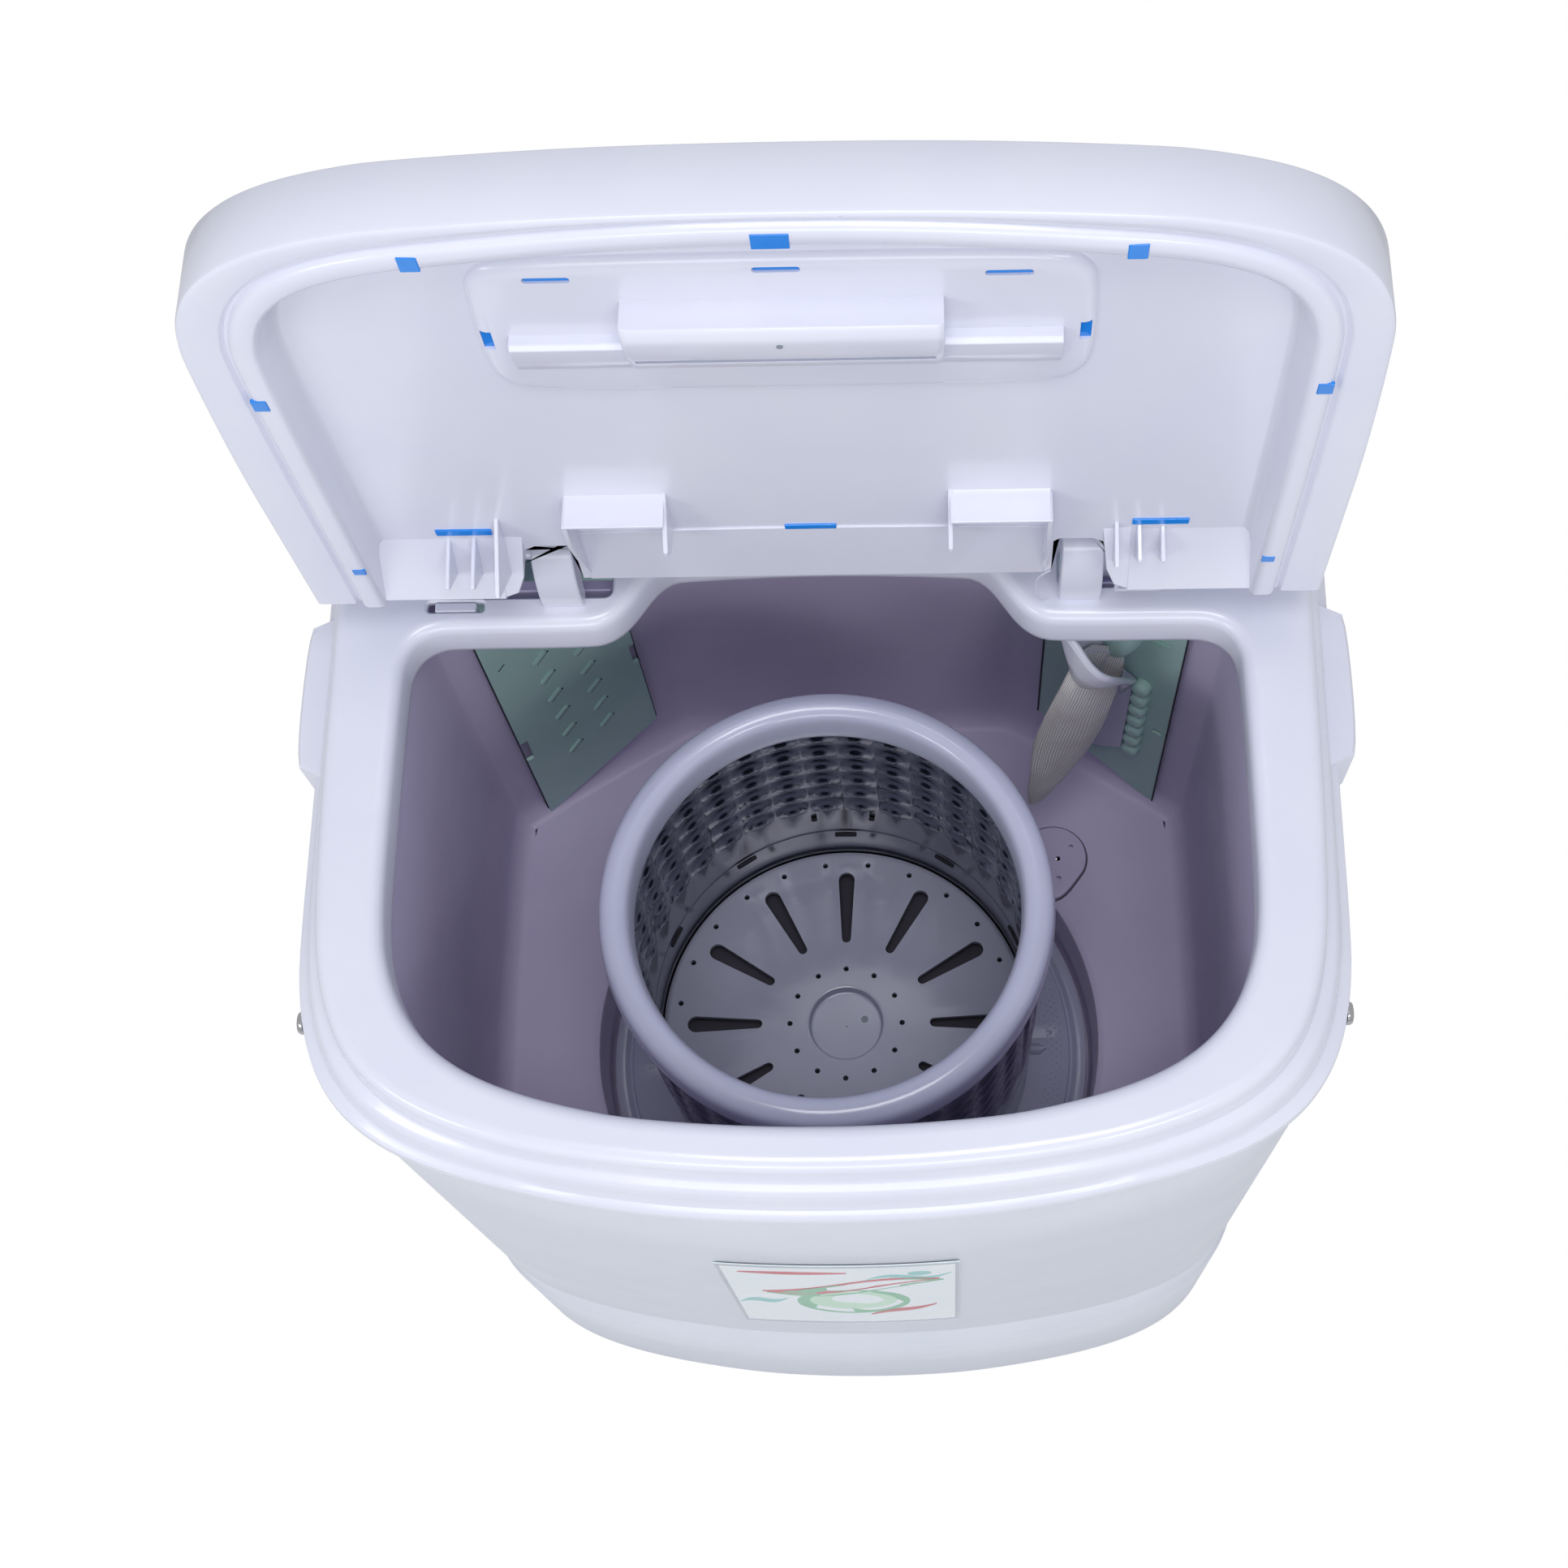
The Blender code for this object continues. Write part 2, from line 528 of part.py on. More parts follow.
def make_console():
    """The control console behind the lid, with its printed plate and its knobs."""
    cover = prism("console_cover", rounded(CONSOLE_HALF, CONSOLE_FRONT, CONSOLE_BACK, 0.022),
                  GAP, 0.110, WHITE)
    cut(cover, prism("console_slant", slanted_top(0), -0.3, 0.3, WHITE, axis="x",
                     hidden=True))
    inside = prism("console_inside", rounded(CONSOLE_HALF - WALL, CONSOLE_FRONT + WALL,
                                             CONSOLE_BACK - WALL, 0.0195),
                   -0.010, 0.110, WHITE, hidden=True)
    cut(inside, prism("console_ceiling", slanted_top(WALL), -0.3, 0.3, WHITE, axis="x",
                      hidden=True))
    cut(cover, inside)
    cut(cover, box("switch_slot", (0.1200, 0.140, -0.010), (0.1640, 0.1600, 0.0480), WHITE,
                   hidden=True))
    box("control_tray", (-0.215, 0.1830, 0.0003), (0.105, 0.2100, 0.0040), GREY)
    box("lid_switch", (0.1320, 0.1780, 0.0045), (0.1440, 0.1940, 0.0265), DARK)

    middle = Vector((0, (CONSOLE_FRONT + CONSOLE_BACK) / 2, (CONSOLE_LOW + CONSOLE_HIGH) / 2))
    normal = Vector((0, -sin(SLOPE), cos(SLOPE)))
    tilt = (SLOPE, 0, 0)

    plate = box("control_panel", (-0.205, -0.026, 0), (0.205, 0.026, 0.0010), LABEL)
    plate.location = middle + normal * GAP
    plate.rotation_euler = tilt
    names = ("wash_timer_knob", "mode_knob", "drain_knob")
    bodies = ("wash_timer", "mode_selector", "drain_selector")
    for index, (name, body) in enumerate(zip(names, bodies)):
        x = (index - 1) * KNOB_X
        way = cylinder(f"{name}_way", (0, 0), 0.0050, -0.030, 0.030, WHITE, sides=16,
                       hidden=True)
        way.location = middle + Vector((x, 0, 0))
        way.rotation_euler = tilt
        cut(cover, way)
        cut(plate, way)
        pivot = joint_empty(f"{name}_axis", middle + Vector((x, 0, 0)) + normal * 0.0018)
        pivot.rotation_euler = tilt
        knob = turned(name, [(0.0, -0.0140), (0.0, 0.0150), (0.0145, 0.0150),
                             (0.0165, 0.0135), (KNOB_R, 0.0), (0.0035, 0.0),
                             (0.0035, -0.0140)], WHITE, pivot, steps=24)
        knob.location = (0, 0, 0)
        box_low, box_high = (-0.022, -0.019, -0.0380), (0.022, 0.012, -0.0165)
        body_box = box(body, box_low, box_high, GREY)
        body_box.location = middle + Vector((x, 0, 0))
        body_box.rotation_euler = tilt
    inlet = (-0.2205, 0.1870)
    cut(cover, cylinder("inlet_way", inlet, 0.0113, 0.050, 0.120, WHITE, sides=20,
                        hidden=True))
    cylinder("water_inlet", inlet, 0.0110, 0.0600, 0.1000, GREY, sides=20)


# ---- tub fittings ---------------------------------------------------------------------
def panel_axis(side):
    """An empty at a rear corner panel's outer edge, its X along the panel, Y into the tub."""
    name = "left_panel_axis" if side < 0 else "right_panel_axis"
    result = joint_empty(name, (side * PANEL_EDGE.x, PANEL_EDGE.y, 0))
    along = PANEL_TILT if side > 0 else pi - PANEL_TILT
    result.rotation_euler = (0, 0, along)
    return result


def on_panel(obj):
    """Leave a piece modelled in its panel's own frame where its empty puts it."""
    obj.location = (0, 0, 0)
    return obj


def make_corner_panels():
    """Water channel cover on the left, filter panel with its lint filter on the right."""
    outline = [(0.0, -0.300), (PANEL_WIDTH, -0.258), (PANEL_WIDTH, PANEL_TOP),
               (0.0, PANEL_TOP)]
    left = panel_axis(-1)
    on_panel(prism("water_channel_cover", outline, 0.0, PANEL_THICK, GREEN, left, axis="y"))

    right = panel_axis(1)
    panel = on_panel(prism("filter_panel", outline, -PANEL_THICK, 0.0, GREEN, right,
                           axis="y"))
    for index in range(7):
        z = -0.150 - 0.0145 * index
        rib = on_panel(cylinder(f"comb_rib_{index}", (0.0030, z), 0.0055, 0.0085, 0.0190,
                                GREEN, right, axis="x", sides=12, hidden=True))
        join(panel, rib)

    frame = on_panel(box("filter_frame", (0.0200, 0.0005, -0.262), (0.0600, 0.0045, -0.040),
                         GREY, right))
    funnel = [(0.0200, 0.0020), (0.0200, 0.0150)]
    funnel += curve((0.0200, 0.0150), (0.0220, 0.0360), (0.0400, 0.0460), (0.0520, 0.0380), 5)
    funnel += [(0.0600, 0.0200), (0.0600, 0.0020)]
    join(frame, on_panel(prism("funnel", funnel, -0.1050, -0.040, GREY, right, hidden=True)))
    cut(frame, on_panel(prism("funnel_inside", grown(funnel, -0.0030), -0.1020, -0.030, GREY,
                              right, hidden=True)))

    rings = []
    for z, u, out, wide, deep in ((-0.1056, 0.0380, 0.0220, 0.0170, 0.0140),
                                  (-0.1350, 0.0400, 0.0300, 0.0180, 0.0150),
                                  (-0.1750, 0.0430, 0.0420, 0.0170, 0.0130),
                                  (-0.2050, 0.0450, 0.0520, 0.0140, 0.0090),
                                  (-0.2200, 0.0455, 0.0570, 0.0080, 0.0050)):
        rings.append([(u + wide * cos(a), out + deep * sin(a), z)
                      for a in (2 * pi * i / 12 for i in range(12))])
    on_panel(loft("filter_bag", rings, NET, right))


def make_drain():
    """Drain cover, valve, plug with its pull rod, and the spout out of the base."""
    x, y = DRAIN_X, DRAIN_Y
    cover = arc((x, y), 0.0185, -30, 210, 17) + [(x - 0.006, y - 0.0230), (x + 0.004, y - 0.0230)]
    drain_cover = prism("drain_cover", cover, TUB_FLOOR + GAP, TUB_FLOOR + 0.0030, TUB)
    for dx, dy in ((-0.007, 0.0), (0.0, 0.008), (0.0, -0.008), (0.007, 0.0)):
        cut(drain_cover, cylinder(f"drain_slot_{dx}_{dy}", (x + dx, y + dy), 0.0016, -0.310,
                                  -0.290, TUB, sides=8, hidden=True))
    low, top = -0.385, TUB_FLOOR - WALL - GAP
    valve = cylinder("drain_valve", (x, y), 0.0155, low, top, GREY, sides=28)
    cut(valve, cylinder("valve_bore", (x, y), 0.0130, low + 0.003, 0.0, GREY, sides=28,
                        hidden=True))
    cut(valve, cylinder("valve_outlet", (x, y), 0.0080, low - 0.010, low + 0.010, GREY,
                        sides=20, hidden=True))
    slot = box("rod_slot", (x - 0.004, y, -0.352), (x + 0.004, y + 0.040, -0.328), GREY,
               hidden=True)
    cut(valve, slot)
    cylinder("drain_plug", (x, y), 0.0108, low + 0.0033, -0.3565, RUBBER,
             joint_empty("drain_axis", (x, y, low)), sides=20)
    rod = bpy.data.curves.new("drain_pull_rod", "CURVE")
    rod.dimensions = "3D"
    rod.bevel_depth = 0.0022
    rod.bevel_resolution = 2
    rod.use_fill_caps = True
    route = [(x, y, -0.3562), (x, y, -0.3460), (x, y + 0.003, -0.3425), (x, y + 0.006, -0.3415),
             (x, ROD_Y - 0.007, -0.3415), (x, ROD_Y - 0.002, -0.3390),
             (x, ROD_Y, -0.3340), (x, ROD_Y, 0.0200)]
    spline = rod.splines.new("POLY")
    spline.points.add(len(route) - 1)
    for point, place in zip(spline.points, route):
        point.co = (*place, 1)
    adopt(bpy.data.objects.new("drain_pull_rod", rod), SCREW, machine)

    spout = bpy.data.curves.new("drain_spout", "CURVE")
    spout.dimensions = "3D"
    spout.bevel_depth = 0.0140
    spout.bevel_resolution = 3
    spout.use_fill_caps = True
    bend = [(x, y, low - GAP)] + [(x + 0.025 * (1 - cos(a)), y, -0.475 - 0.025 * sin(a))
                                  for a in (radians(90 * i / 5) for i in range(6))]
    spline = spout.splines.new("POLY")
    bend += [(0.2440, y, -0.500)]
    spline.points.add(len(bend) - 1)
    for point, place in zip(spline.points, bend):
        point.co = (*place, 1)
    adopt(bpy.data.objects.new("drain_spout", spout), GREY, machine)


# ---- basket and pulsator --------------------------------------------------------------
def make_basket():
    """Rim ring, steel drum and slotted floor, lifted out together."""
    lift = joint_empty("basket_axis", (0, 0, 0))
    turned("basket_ring", [(RING_BORE, -0.0645), (0.0925, -0.0590), (0.0985, RING_TOP),
                           (0.1038, -0.0590), (RING_R, -0.0645), (RING_R, -0.0800),
                           (0.1030, -0.0840), (0.0940, -0.0840), (RING_BORE, -0.0780)],
           GREY, lift)
    turned("basket_drum", [(DRUM_R - DRUM_SHEET, -0.0843), (DRUM_R, -0.0843),
                           (DRUM_R, DRUM_BOTTOM), (DRUM_R - DRUM_SHEET, DRUM_BOTTOM)],
           STEEL, lift)
    plate = turned("basket_base", [(0.0, PLATE_Z - 0.010), (0.0, PLATE_Z - 0.007),
                                   (0.0199, PLATE_Z - 0.007), (0.0199, PLATE_Z + 0.001),
                                   (PLATE_R, PLATE_Z), (PLATE_R, DRUM_BOTTOM + 0.004),
                                   (PLATE_R - 0.0025, DRUM_BOTTOM + 0.004),
                                   (PLATE_R - 0.0025, PLATE_Z - 0.003),
                                   (0.0300, PLATE_Z - 0.003), (0.0300, -0.3247),
                                   (0.0270, -0.3247), (0.0270, PLATE_Z - 0.010)],
                   GREY, lift)
    for index in range(12):
        turn = Matrix.Rotation(radians(30 * index), 3, "Z")
        slot = arc((0.0485, 0), 0.0025, 90, 270, 4) + arc((0.0830, 0), 0.0044, -90, 90, 4)
        outline = [tuple((turn @ Vector((x, y, 0))).xy) for x, y in slot]
        cut(plate, prism(f"base_slot_{index}", outline, PLATE_Z - 0.012, PLATE_Z + 0.010,
                         GREY, lift, hidden=True))


def make_pulsator():
    """The driven disc under the basket, its screw, shaft, bearings and pulley."""
    turn = joint_empty("pulsator_axis", (0, 0, 0))
    turned("pulsator", [(SHAFT_R + GAP, -0.3405), (SHAFT_R + GAP, -0.3250), (0.0220, -0.3250),
                        (0.0280, PULSATOR_TOP + 0.001), (0.1250, PULSATOR_TOP + 0.001),
                        (0.1265, PULSATOR_TOP - 0.001), (0.1280, PULSATOR_TOP),
                        (PULSATOR_R, PULSATOR_TOP), (PULSATOR_R, -0.3405),
                        (PULSATOR_R - 0.0030, -0.3405), (PULSATOR_R - 0.0030, -0.3370),
                        (0.0200, -0.3370), (0.0200, -0.3405)], GREY, turn)
    cylinder("pulsator_screw", (0, 0), 0.0085, -0.3247, -0.3205, SCREW, turn, sides=16)
    cylinder("drive_shaft", (0, 0), SHAFT_R, -0.4660, -0.3250, SCREW, turn, sides=20)
    middle = (PULLEY_LOW + PULLEY_HIGH) / 2
    turned("drive_pulley", [(SHAFT_R + GAP, PULLEY_LOW), (SHAFT_R + GAP, PULLEY_HIGH),
                            (0.0140, PULLEY_HIGH), (0.0140, middle + 0.002),
                            (PULLEY_R - 0.012, middle + 0.002),
                            (PULLEY_R - 0.012, middle + 0.0065), (PULLEY_R, middle + 0.0065),
                            (PULLEY_R, middle + 0.0050), (PULLEY_R - GROOVE, middle + 0.0042),
                            (PULLEY_R - GROOVE, middle - 0.0042), (PULLEY_R, middle - 0.0050),
                            (PULLEY_R, middle - 0.0065), (PULLEY_R - 0.012, middle - 0.0065),
                            (PULLEY_R - 0.012, middle - 0.002), (0.0140, middle - 0.002),
                            (0.0140, PULLEY_LOW)], DARK, turn, steps=32)


def make_drive():
    """Bearing housing under the tub, motor on its bracket, belt and capacitor."""
    under = WELL_FLOOR - WALL - GAP
    turned("bearing_housing", [(0.0072, under), (0.0450, under), (0.0450, under - 0.005),
                               (0.0190, under - 0.005), (0.0190, -0.4350), (0.0135, -0.4350),
                               (0.0135, -0.3600), (0.0072, -0.3600)], CAST, steps=28)
    for name, top in (("upper_bearing", -0.3603), ("lower_bearing", -0.4260)):
        turned(name, [(SHAFT_R + GAP, top), (0.0132, top), (0.0132, top - 0.008),
                      (SHAFT_R + GAP, top - 0.008)], SCREW, steps=24)
    turned("shaft_seal", [(SHAFT_R + GAP, WELL_FLOOR + 0.002), (0.0112, WELL_FLOOR + 0.002),
                          (0.0112, WELL_FLOOR - WALL), (SHAFT_R + GAP, WELL_FLOOR - WALL)],
           RUBBER, steps=24)

    top = PULLEY_LOW - 0.014
    motor = cylinder("motor", (MOTOR_X, 0), MOTOR_R, top - 0.080, top, CAST, sides=32)
    join(motor, cylinder("motor_nose", (MOTOR_X, 0), 0.0120, top - 0.001, top + 0.005, CAST,
                         sides=20, hidden=True))
    cut(motor, cylinder("motor_bore", (MOTOR_X, 0), 0.0053, top - 0.012, top + 0.02, CAST,
                        sides=16, hidden=True))
    spin = joint_empty("motor_axis", (MOTOR_X, 0, 0))
    middle = (PULLEY_LOW + PULLEY_HIGH) / 2
    rim, root = MOTOR_PULLEY_R, MOTOR_PULLEY_R - GROOVE
    pulley = turned("motor_pulley", [(0.0, top - 0.0100), (0.0, middle + 0.0090),
                                     (0.0050, middle + 0.0090), (0.0050, middle + 0.0065),
                                     (rim, middle + 0.0065), (rim, middle + 0.0050),
                                     (root, middle + 0.0042), (root, middle - 0.0042),
                                     (rim, middle - 0.0050), (rim, middle - 0.0065),
                                     (0.0050, middle - 0.0065), (0.0050, top - 0.0100)],
                    DARK, spin, steps=24)
    pulley.location = (0, 0, 0)

    belt = prism("drive_belt", belt_loop(PULLEY_R - 0.0008, MOTOR_PULLEY_R - 0.0008),
                 middle - 0.0036, middle + 0.0036, RUBBER)
    cut(belt, prism("belt_inside", belt_loop(PULLEY_R - GROOVE + GAP * 2,
                                             MOTOR_PULLEY_R - GROOVE + GAP * 2),
                    middle - 0.010, middle + 0.010, RUBBER, hidden=True))

    seat = top - 0.080 - GAP
    bracket = box("motor_bracket", (MOTOR_X - 0.058, -0.060, seat - 0.003),
                  (MOTOR_X + 0.058, 0.060, seat), CAST)
    for name, y in (("front", -0.060), ("back", 0.057)):
        join(bracket, box(f"bracket_leg_{name}", (MOTOR_X - 0.058, y, -0.6007),
                          (MOTOR_X + 0.058, y + 0.003, seat - 0.001), CAST, hidden=True))
    cylinder("capacitor", (0.060, 0.090), 0.0180, -0.6007, -0.530, GREY, sides=20)


def belt_loop(big, small):
    """The outline round both pulleys: two arcs joined by their tangents."""
    lean = 90 + degrees(asin((big - small) / abs(MOTOR_X)))
    return arc((0, 0), big, -lean, lean, 25) + arc((MOTOR_X, 0), small, lean, 360 - lean, 13)


make_cabinet()
make_base()
make_upper_frame()
make_side_fittings()
make_tub()
make_label()
make_lid()
make_console()
make_corner_panels()
make_drain()
make_basket()
make_pulsator()
make_drive()
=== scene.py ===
"""Looks of a top load washing machine: glossy casing, raised lid, steel spin basket.

Pieces are modelled about the basket's axis at the height of the rim, in metres, with +Z up
and the front facing -Y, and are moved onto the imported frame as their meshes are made.
"""
from math import atan2, cos, pi, radians, sin, tau

import bmesh
import bpy
from mathutils import Matrix, Vector, noise


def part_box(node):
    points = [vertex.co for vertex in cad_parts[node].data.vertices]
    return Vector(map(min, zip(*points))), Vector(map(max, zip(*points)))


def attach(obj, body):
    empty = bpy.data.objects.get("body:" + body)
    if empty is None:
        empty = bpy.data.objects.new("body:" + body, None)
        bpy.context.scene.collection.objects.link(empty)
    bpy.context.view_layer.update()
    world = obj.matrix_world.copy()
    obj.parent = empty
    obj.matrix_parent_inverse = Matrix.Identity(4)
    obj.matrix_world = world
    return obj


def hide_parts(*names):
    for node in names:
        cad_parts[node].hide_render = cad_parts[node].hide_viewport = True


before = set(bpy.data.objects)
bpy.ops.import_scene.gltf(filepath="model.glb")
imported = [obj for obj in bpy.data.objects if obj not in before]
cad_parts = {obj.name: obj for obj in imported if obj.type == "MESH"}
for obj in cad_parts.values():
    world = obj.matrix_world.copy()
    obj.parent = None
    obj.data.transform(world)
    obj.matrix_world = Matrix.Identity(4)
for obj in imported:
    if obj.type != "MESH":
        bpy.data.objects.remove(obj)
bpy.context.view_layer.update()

RING_TOP = -0.0565
ring_low, ring_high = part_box("basket_ring")
AXIS = Vector(((ring_low.x + ring_high.x) / 2, (ring_low.y + ring_high.y) / 2,
               ring_high.z - RING_TOP))

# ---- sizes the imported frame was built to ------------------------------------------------
HALF_WIDTH, RIM_FRONT, RIM_BACK, SKIRT = 0.225, 0.137, 0.204, 0.0125
CABINET_TOP, CABINET_BOTTOM = -0.0403, -0.4247
BASE_TOP, BASE_BOTTOM = -0.4250, -0.608
TUB_FRONT, TUB_BACK, TUB_SIDE, TUB_MOUTH = 0.1395, 0.1930, 0.195, 0.1285
TUB_TOP, TUB_SHOULDER, TUB_FLOOR = -0.0040, -0.060, -0.300
WELL_R, WELL_FLOOR = 0.1385, -0.3440
RING_R, RING_BORE, RING_FOOT = 0.1062, 0.0905, -0.0840
DRUM_R, DRUM_TOP, DRUM_BOTTOM = 0.1015, -0.0843, -0.318
PLATE_Z, HUB_R = -0.272, 0.0199
PULSATOR_R, PULSATOR_TOP = 0.1350, -0.333
PANEL_EDGE = Vector((0.1755, 0.138, 0))
PANEL_ALONG = Vector((-0.0655, 0.041, 0)).normalized()
PANEL_INWARD = Vector((-PANEL_ALONG.y, PANEL_ALONG.x, 0))
PANEL_WIDTH, PANEL_TOP, PANEL_THICK = 0.0773, -0.022, 0.0022
LID_FACE, LID_FLOOR, LID_BACK, LID_COVER_BACK = 0.108, 0.1210, 0.1235, 0.1370
LID_HALF, LID_BOTTOM, LID_TOP = 0.2205, 0.038, 0.320
PIVOT_Y, PIVOT_Z = 0.142, 0.0353
ARM_IN, ARM_OUT = 0.1085, 0.1275
CONSOLE_FRONT, CONSOLE_BACK, CONSOLE_HALF = 0.153, 0.2160, 0.236
CONSOLE_LOW, CONSOLE_HIGH = 0.072, 0.098
SLOPE = atan2(CONSOLE_HIGH - CONSOLE_LOW, CONSOLE_BACK - CONSOLE_FRONT)
KNOB_X = 0.125
DRAIN = Vector((0.118, 0.104, 0))

# ---- sizes of the surface patterns --------------------------------------------------------
COLOUR_DRIFT, MOULD_GRAIN = 0.060, 0.0016
NET_PITCH, LINT_SIZE = 0.0015, 0.022
WATER_MARK = 0.030
PLASTIC_IOR = 1.49


# ---- materials --------------------------------------------------------------------------
def linear(colour):
    """A colour given as sRGB hex, in linear light with full alpha."""
    channels = [int(colour[i:i + 2], 16) / 255 for i in (0, 2, 4)]
    return (*[c / 12.92 if c < 0.04045 else ((c + 0.055) / 1.055) ** 2.4 for c in channels],
            1.0)


def node(tree, kind, inputs=None, **settings):
    """Add a node; an input is either a value or the socket that feeds it."""
    made = tree.nodes.new(kind)
    for name, value in settings.items():
        setattr(made, name, value)
    for name, value in (inputs or {}).items():
        if isinstance(value, bpy.types.NodeSocket):
            tree.links.new(value, made.inputs[name])
        else:
            made.inputs[name].default_value = value
    return made


def empty_material(name):
    made = bpy.data.materials.new(name)
    made.use_nodes = True
    made.node_tree.nodes.clear()
    return made, made.node_tree


def finish(made, tree, shader):
    output = node(tree, "ShaderNodeOutputMaterial", {"Surface": shader.outputs[0]})
    output.is_active_output = True
    return made


def moulded(name, colour, shade, roughness, spread=0.05, relief=0.00002, metallic=0.0,
            coat=0.0):
    """Injection-moulded plastic or plain sheet: a colour that drifts a little towards a
    second shade over 60 mm, with flow marks in the gloss and a fine moulded grain."""
    made, tree = empty_material(name)
    place = node(tree, "ShaderNodeTexCoord").outputs["Object"]
    drift = node(tree, "ShaderNodeTexNoise", {"Vector": place, "Scale": 1 / COLOUR_DRIFT,
                                              "Detail": 3.0, "Roughness": 0.55})
    fine = node(tree, "ShaderNodeTexNoise", {"Vector": place, "Scale": 1 / MOULD_GRAIN,
                                             "Detail": 2.0, "Roughness": 0.6})
    wide = node(tree, "ShaderNodeMapRange", {"Value": drift.outputs["Fac"],
                                             "From Min": 0.30, "From Max": 0.70})
    tone = node(tree, "ShaderNodeMix", {"Factor": wide.outputs["Result"]}, data_type="RGBA")
    for socket, value in ((6, linear(colour)), (7, linear(shade))):
        tone.inputs[socket].default_value = value
    gloss = node(tree, "ShaderNodeMapRange", {"Value": drift.outputs["Fac"],
                                              "From Min": 0.30, "From Max": 0.70,
                                              "To Min": roughness - spread / 2,
                                              "To Max": roughness + spread / 2})
    bump = node(tree, "ShaderNodeBump", {"Height": fine.outputs["Fac"], "Strength": 0.35,
                                         "Distance": relief})
    shader = node(tree, "ShaderNodeBsdfPrincipled",
                  {"Base Color": tone.outputs[2], "Roughness": gloss.outputs["Result"],
                   "Normal": bump.outputs["Normal"], "Metallic": metallic,
                   "Coat Weight": coat, "Coat Roughness": 0.08})
    if metallic < 0.5:
        shader.inputs["IOR"].default_value = PLASTIC_IOR
    return finish(made, tree, shader)


def woven_net(name, colour, gap_shade_colour):
    """Woven nylon filter net: 0.5 mm threads both ways, drawn at 1.5 mm so that they show;
    the gaps let the panel behind shine through in part, and are painted a darker grey:
    painted shade seen through the net."""
    made, tree = empty_material(name)
    flat = node(tree, "ShaderNodeUVMap", uv_map="cloth").outputs["UV"]
    parts = node(tree, "ShaderNodeSeparateXYZ", {"Vector": flat})
    threads = []
    for axis in ("X", "Y"):
        phase = node(tree, "ShaderNodeMath", {0: parts.outputs[axis], 1: tau / NET_PITCH},
                     operation="MULTIPLY")
        threads.append(node(tree, "ShaderNodeMath", {0: phase.outputs[0]},
                            operation="SINE").outputs[0])
    over = node(tree, "ShaderNodeMath", {0: threads[0], 1: threads[1]}, operation="MAXIMUM")
    solid = node(tree, "ShaderNodeMapRange", {"Value": over.outputs[0], "From Min": -0.35,
                                              "From Max": 0.35})
    worn = node(tree, "ShaderNodeTexNoise", {"Vector": flat, "Scale": 1 / LINT_SIZE,
                                             "Detail": 4.0})
    lint = node(tree, "ShaderNodeMapRange", {"Value": worn.outputs["Fac"], "From Min": 0.42,
                                             "From Max": 0.72})
    tone = node(tree, "ShaderNodeMix", {"Factor": solid.outputs["Result"]}, data_type="RGBA")
    tone.inputs[6].default_value = linear(gap_shade_colour)
    tone.inputs[7].default_value = linear(colour)
    dusty = node(tree, "ShaderNodeMix", {"Factor": lint.outputs["Result"]},
                 data_type="RGBA")
    tree.links.new(tone.outputs[2], dusty.inputs[6])
    dusty.inputs[7].default_value = linear("D2CDCB")
    open_part = node(tree, "ShaderNodeMapRange", {"Value": solid.outputs["Result"],
                                                  "To Min": 0.62, "To Max": 1.0})
    bump = node(tree, "ShaderNodeBump", {"Height": solid.outputs["Result"],
                                         "Strength": 0.6, "Distance": 0.0002})
    shader = node(tree, "ShaderNodeBsdfPrincipled",
                  {"Base Color": dusty.outputs[2], "Roughness": 0.85,
                   "Alpha": open_part.outputs["Result"], "Normal": bump.outputs["Normal"],
                   "Sheen Weight": 0.25})
    return finish(made, tree, shader)


def rolled_steel(name, colour, shade):
    """Bright cold-rolled stainless sheet: mirror-like, with fine rolling lines round the
    drum 0.4 mm apart and faint water marks in the gloss."""
    made, tree = empty_material(name)
    place = node(tree, "ShaderNodeTexCoord").outputs["Object"]
    stretched = node(tree, "ShaderNodeMapping", {"Vector": place, "Scale": (1, 1, 22)})
    lines = node(tree, "ShaderNodeTexNoise", {"Vector": stretched.outputs[0],
                                              "Scale": 1 / 0.0088, "Detail": 3.0})
    marks = node(tree, "ShaderNodeTexNoise", {"Vector": place, "Scale": 1 / WATER_MARK,
                                              "Detail": 4.0, "Distortion": 0.6})
    tone = node(tree, "ShaderNodeMix", {"Factor": marks.outputs["Fac"]}, data_type="RGBA")
    tone.inputs[6].default_value = linear(colour)
    tone.inputs[7].default_value = linear(shade)
    gloss = node(tree, "ShaderNodeMapRange", {"Value": marks.outputs["Fac"],
                                              "From Min": 0.3, "From Max": 0.7,
                                              "To Min": 0.13, "To Max": 0.24})
    bump = node(tree, "ShaderNodeBump", {"Height": lines.outputs["Fac"], "Strength": 0.10,
                                         "Distance": 0.00005})
    shader = node(tree, "ShaderNodeBsdfPrincipled",
                  {"Base Color": tone.outputs[2], "Metallic": 1.0,
                   "Roughness": gloss.outputs["Result"], "Normal": bump.outputs["Normal"]})
    return finish(made, tree, shader)


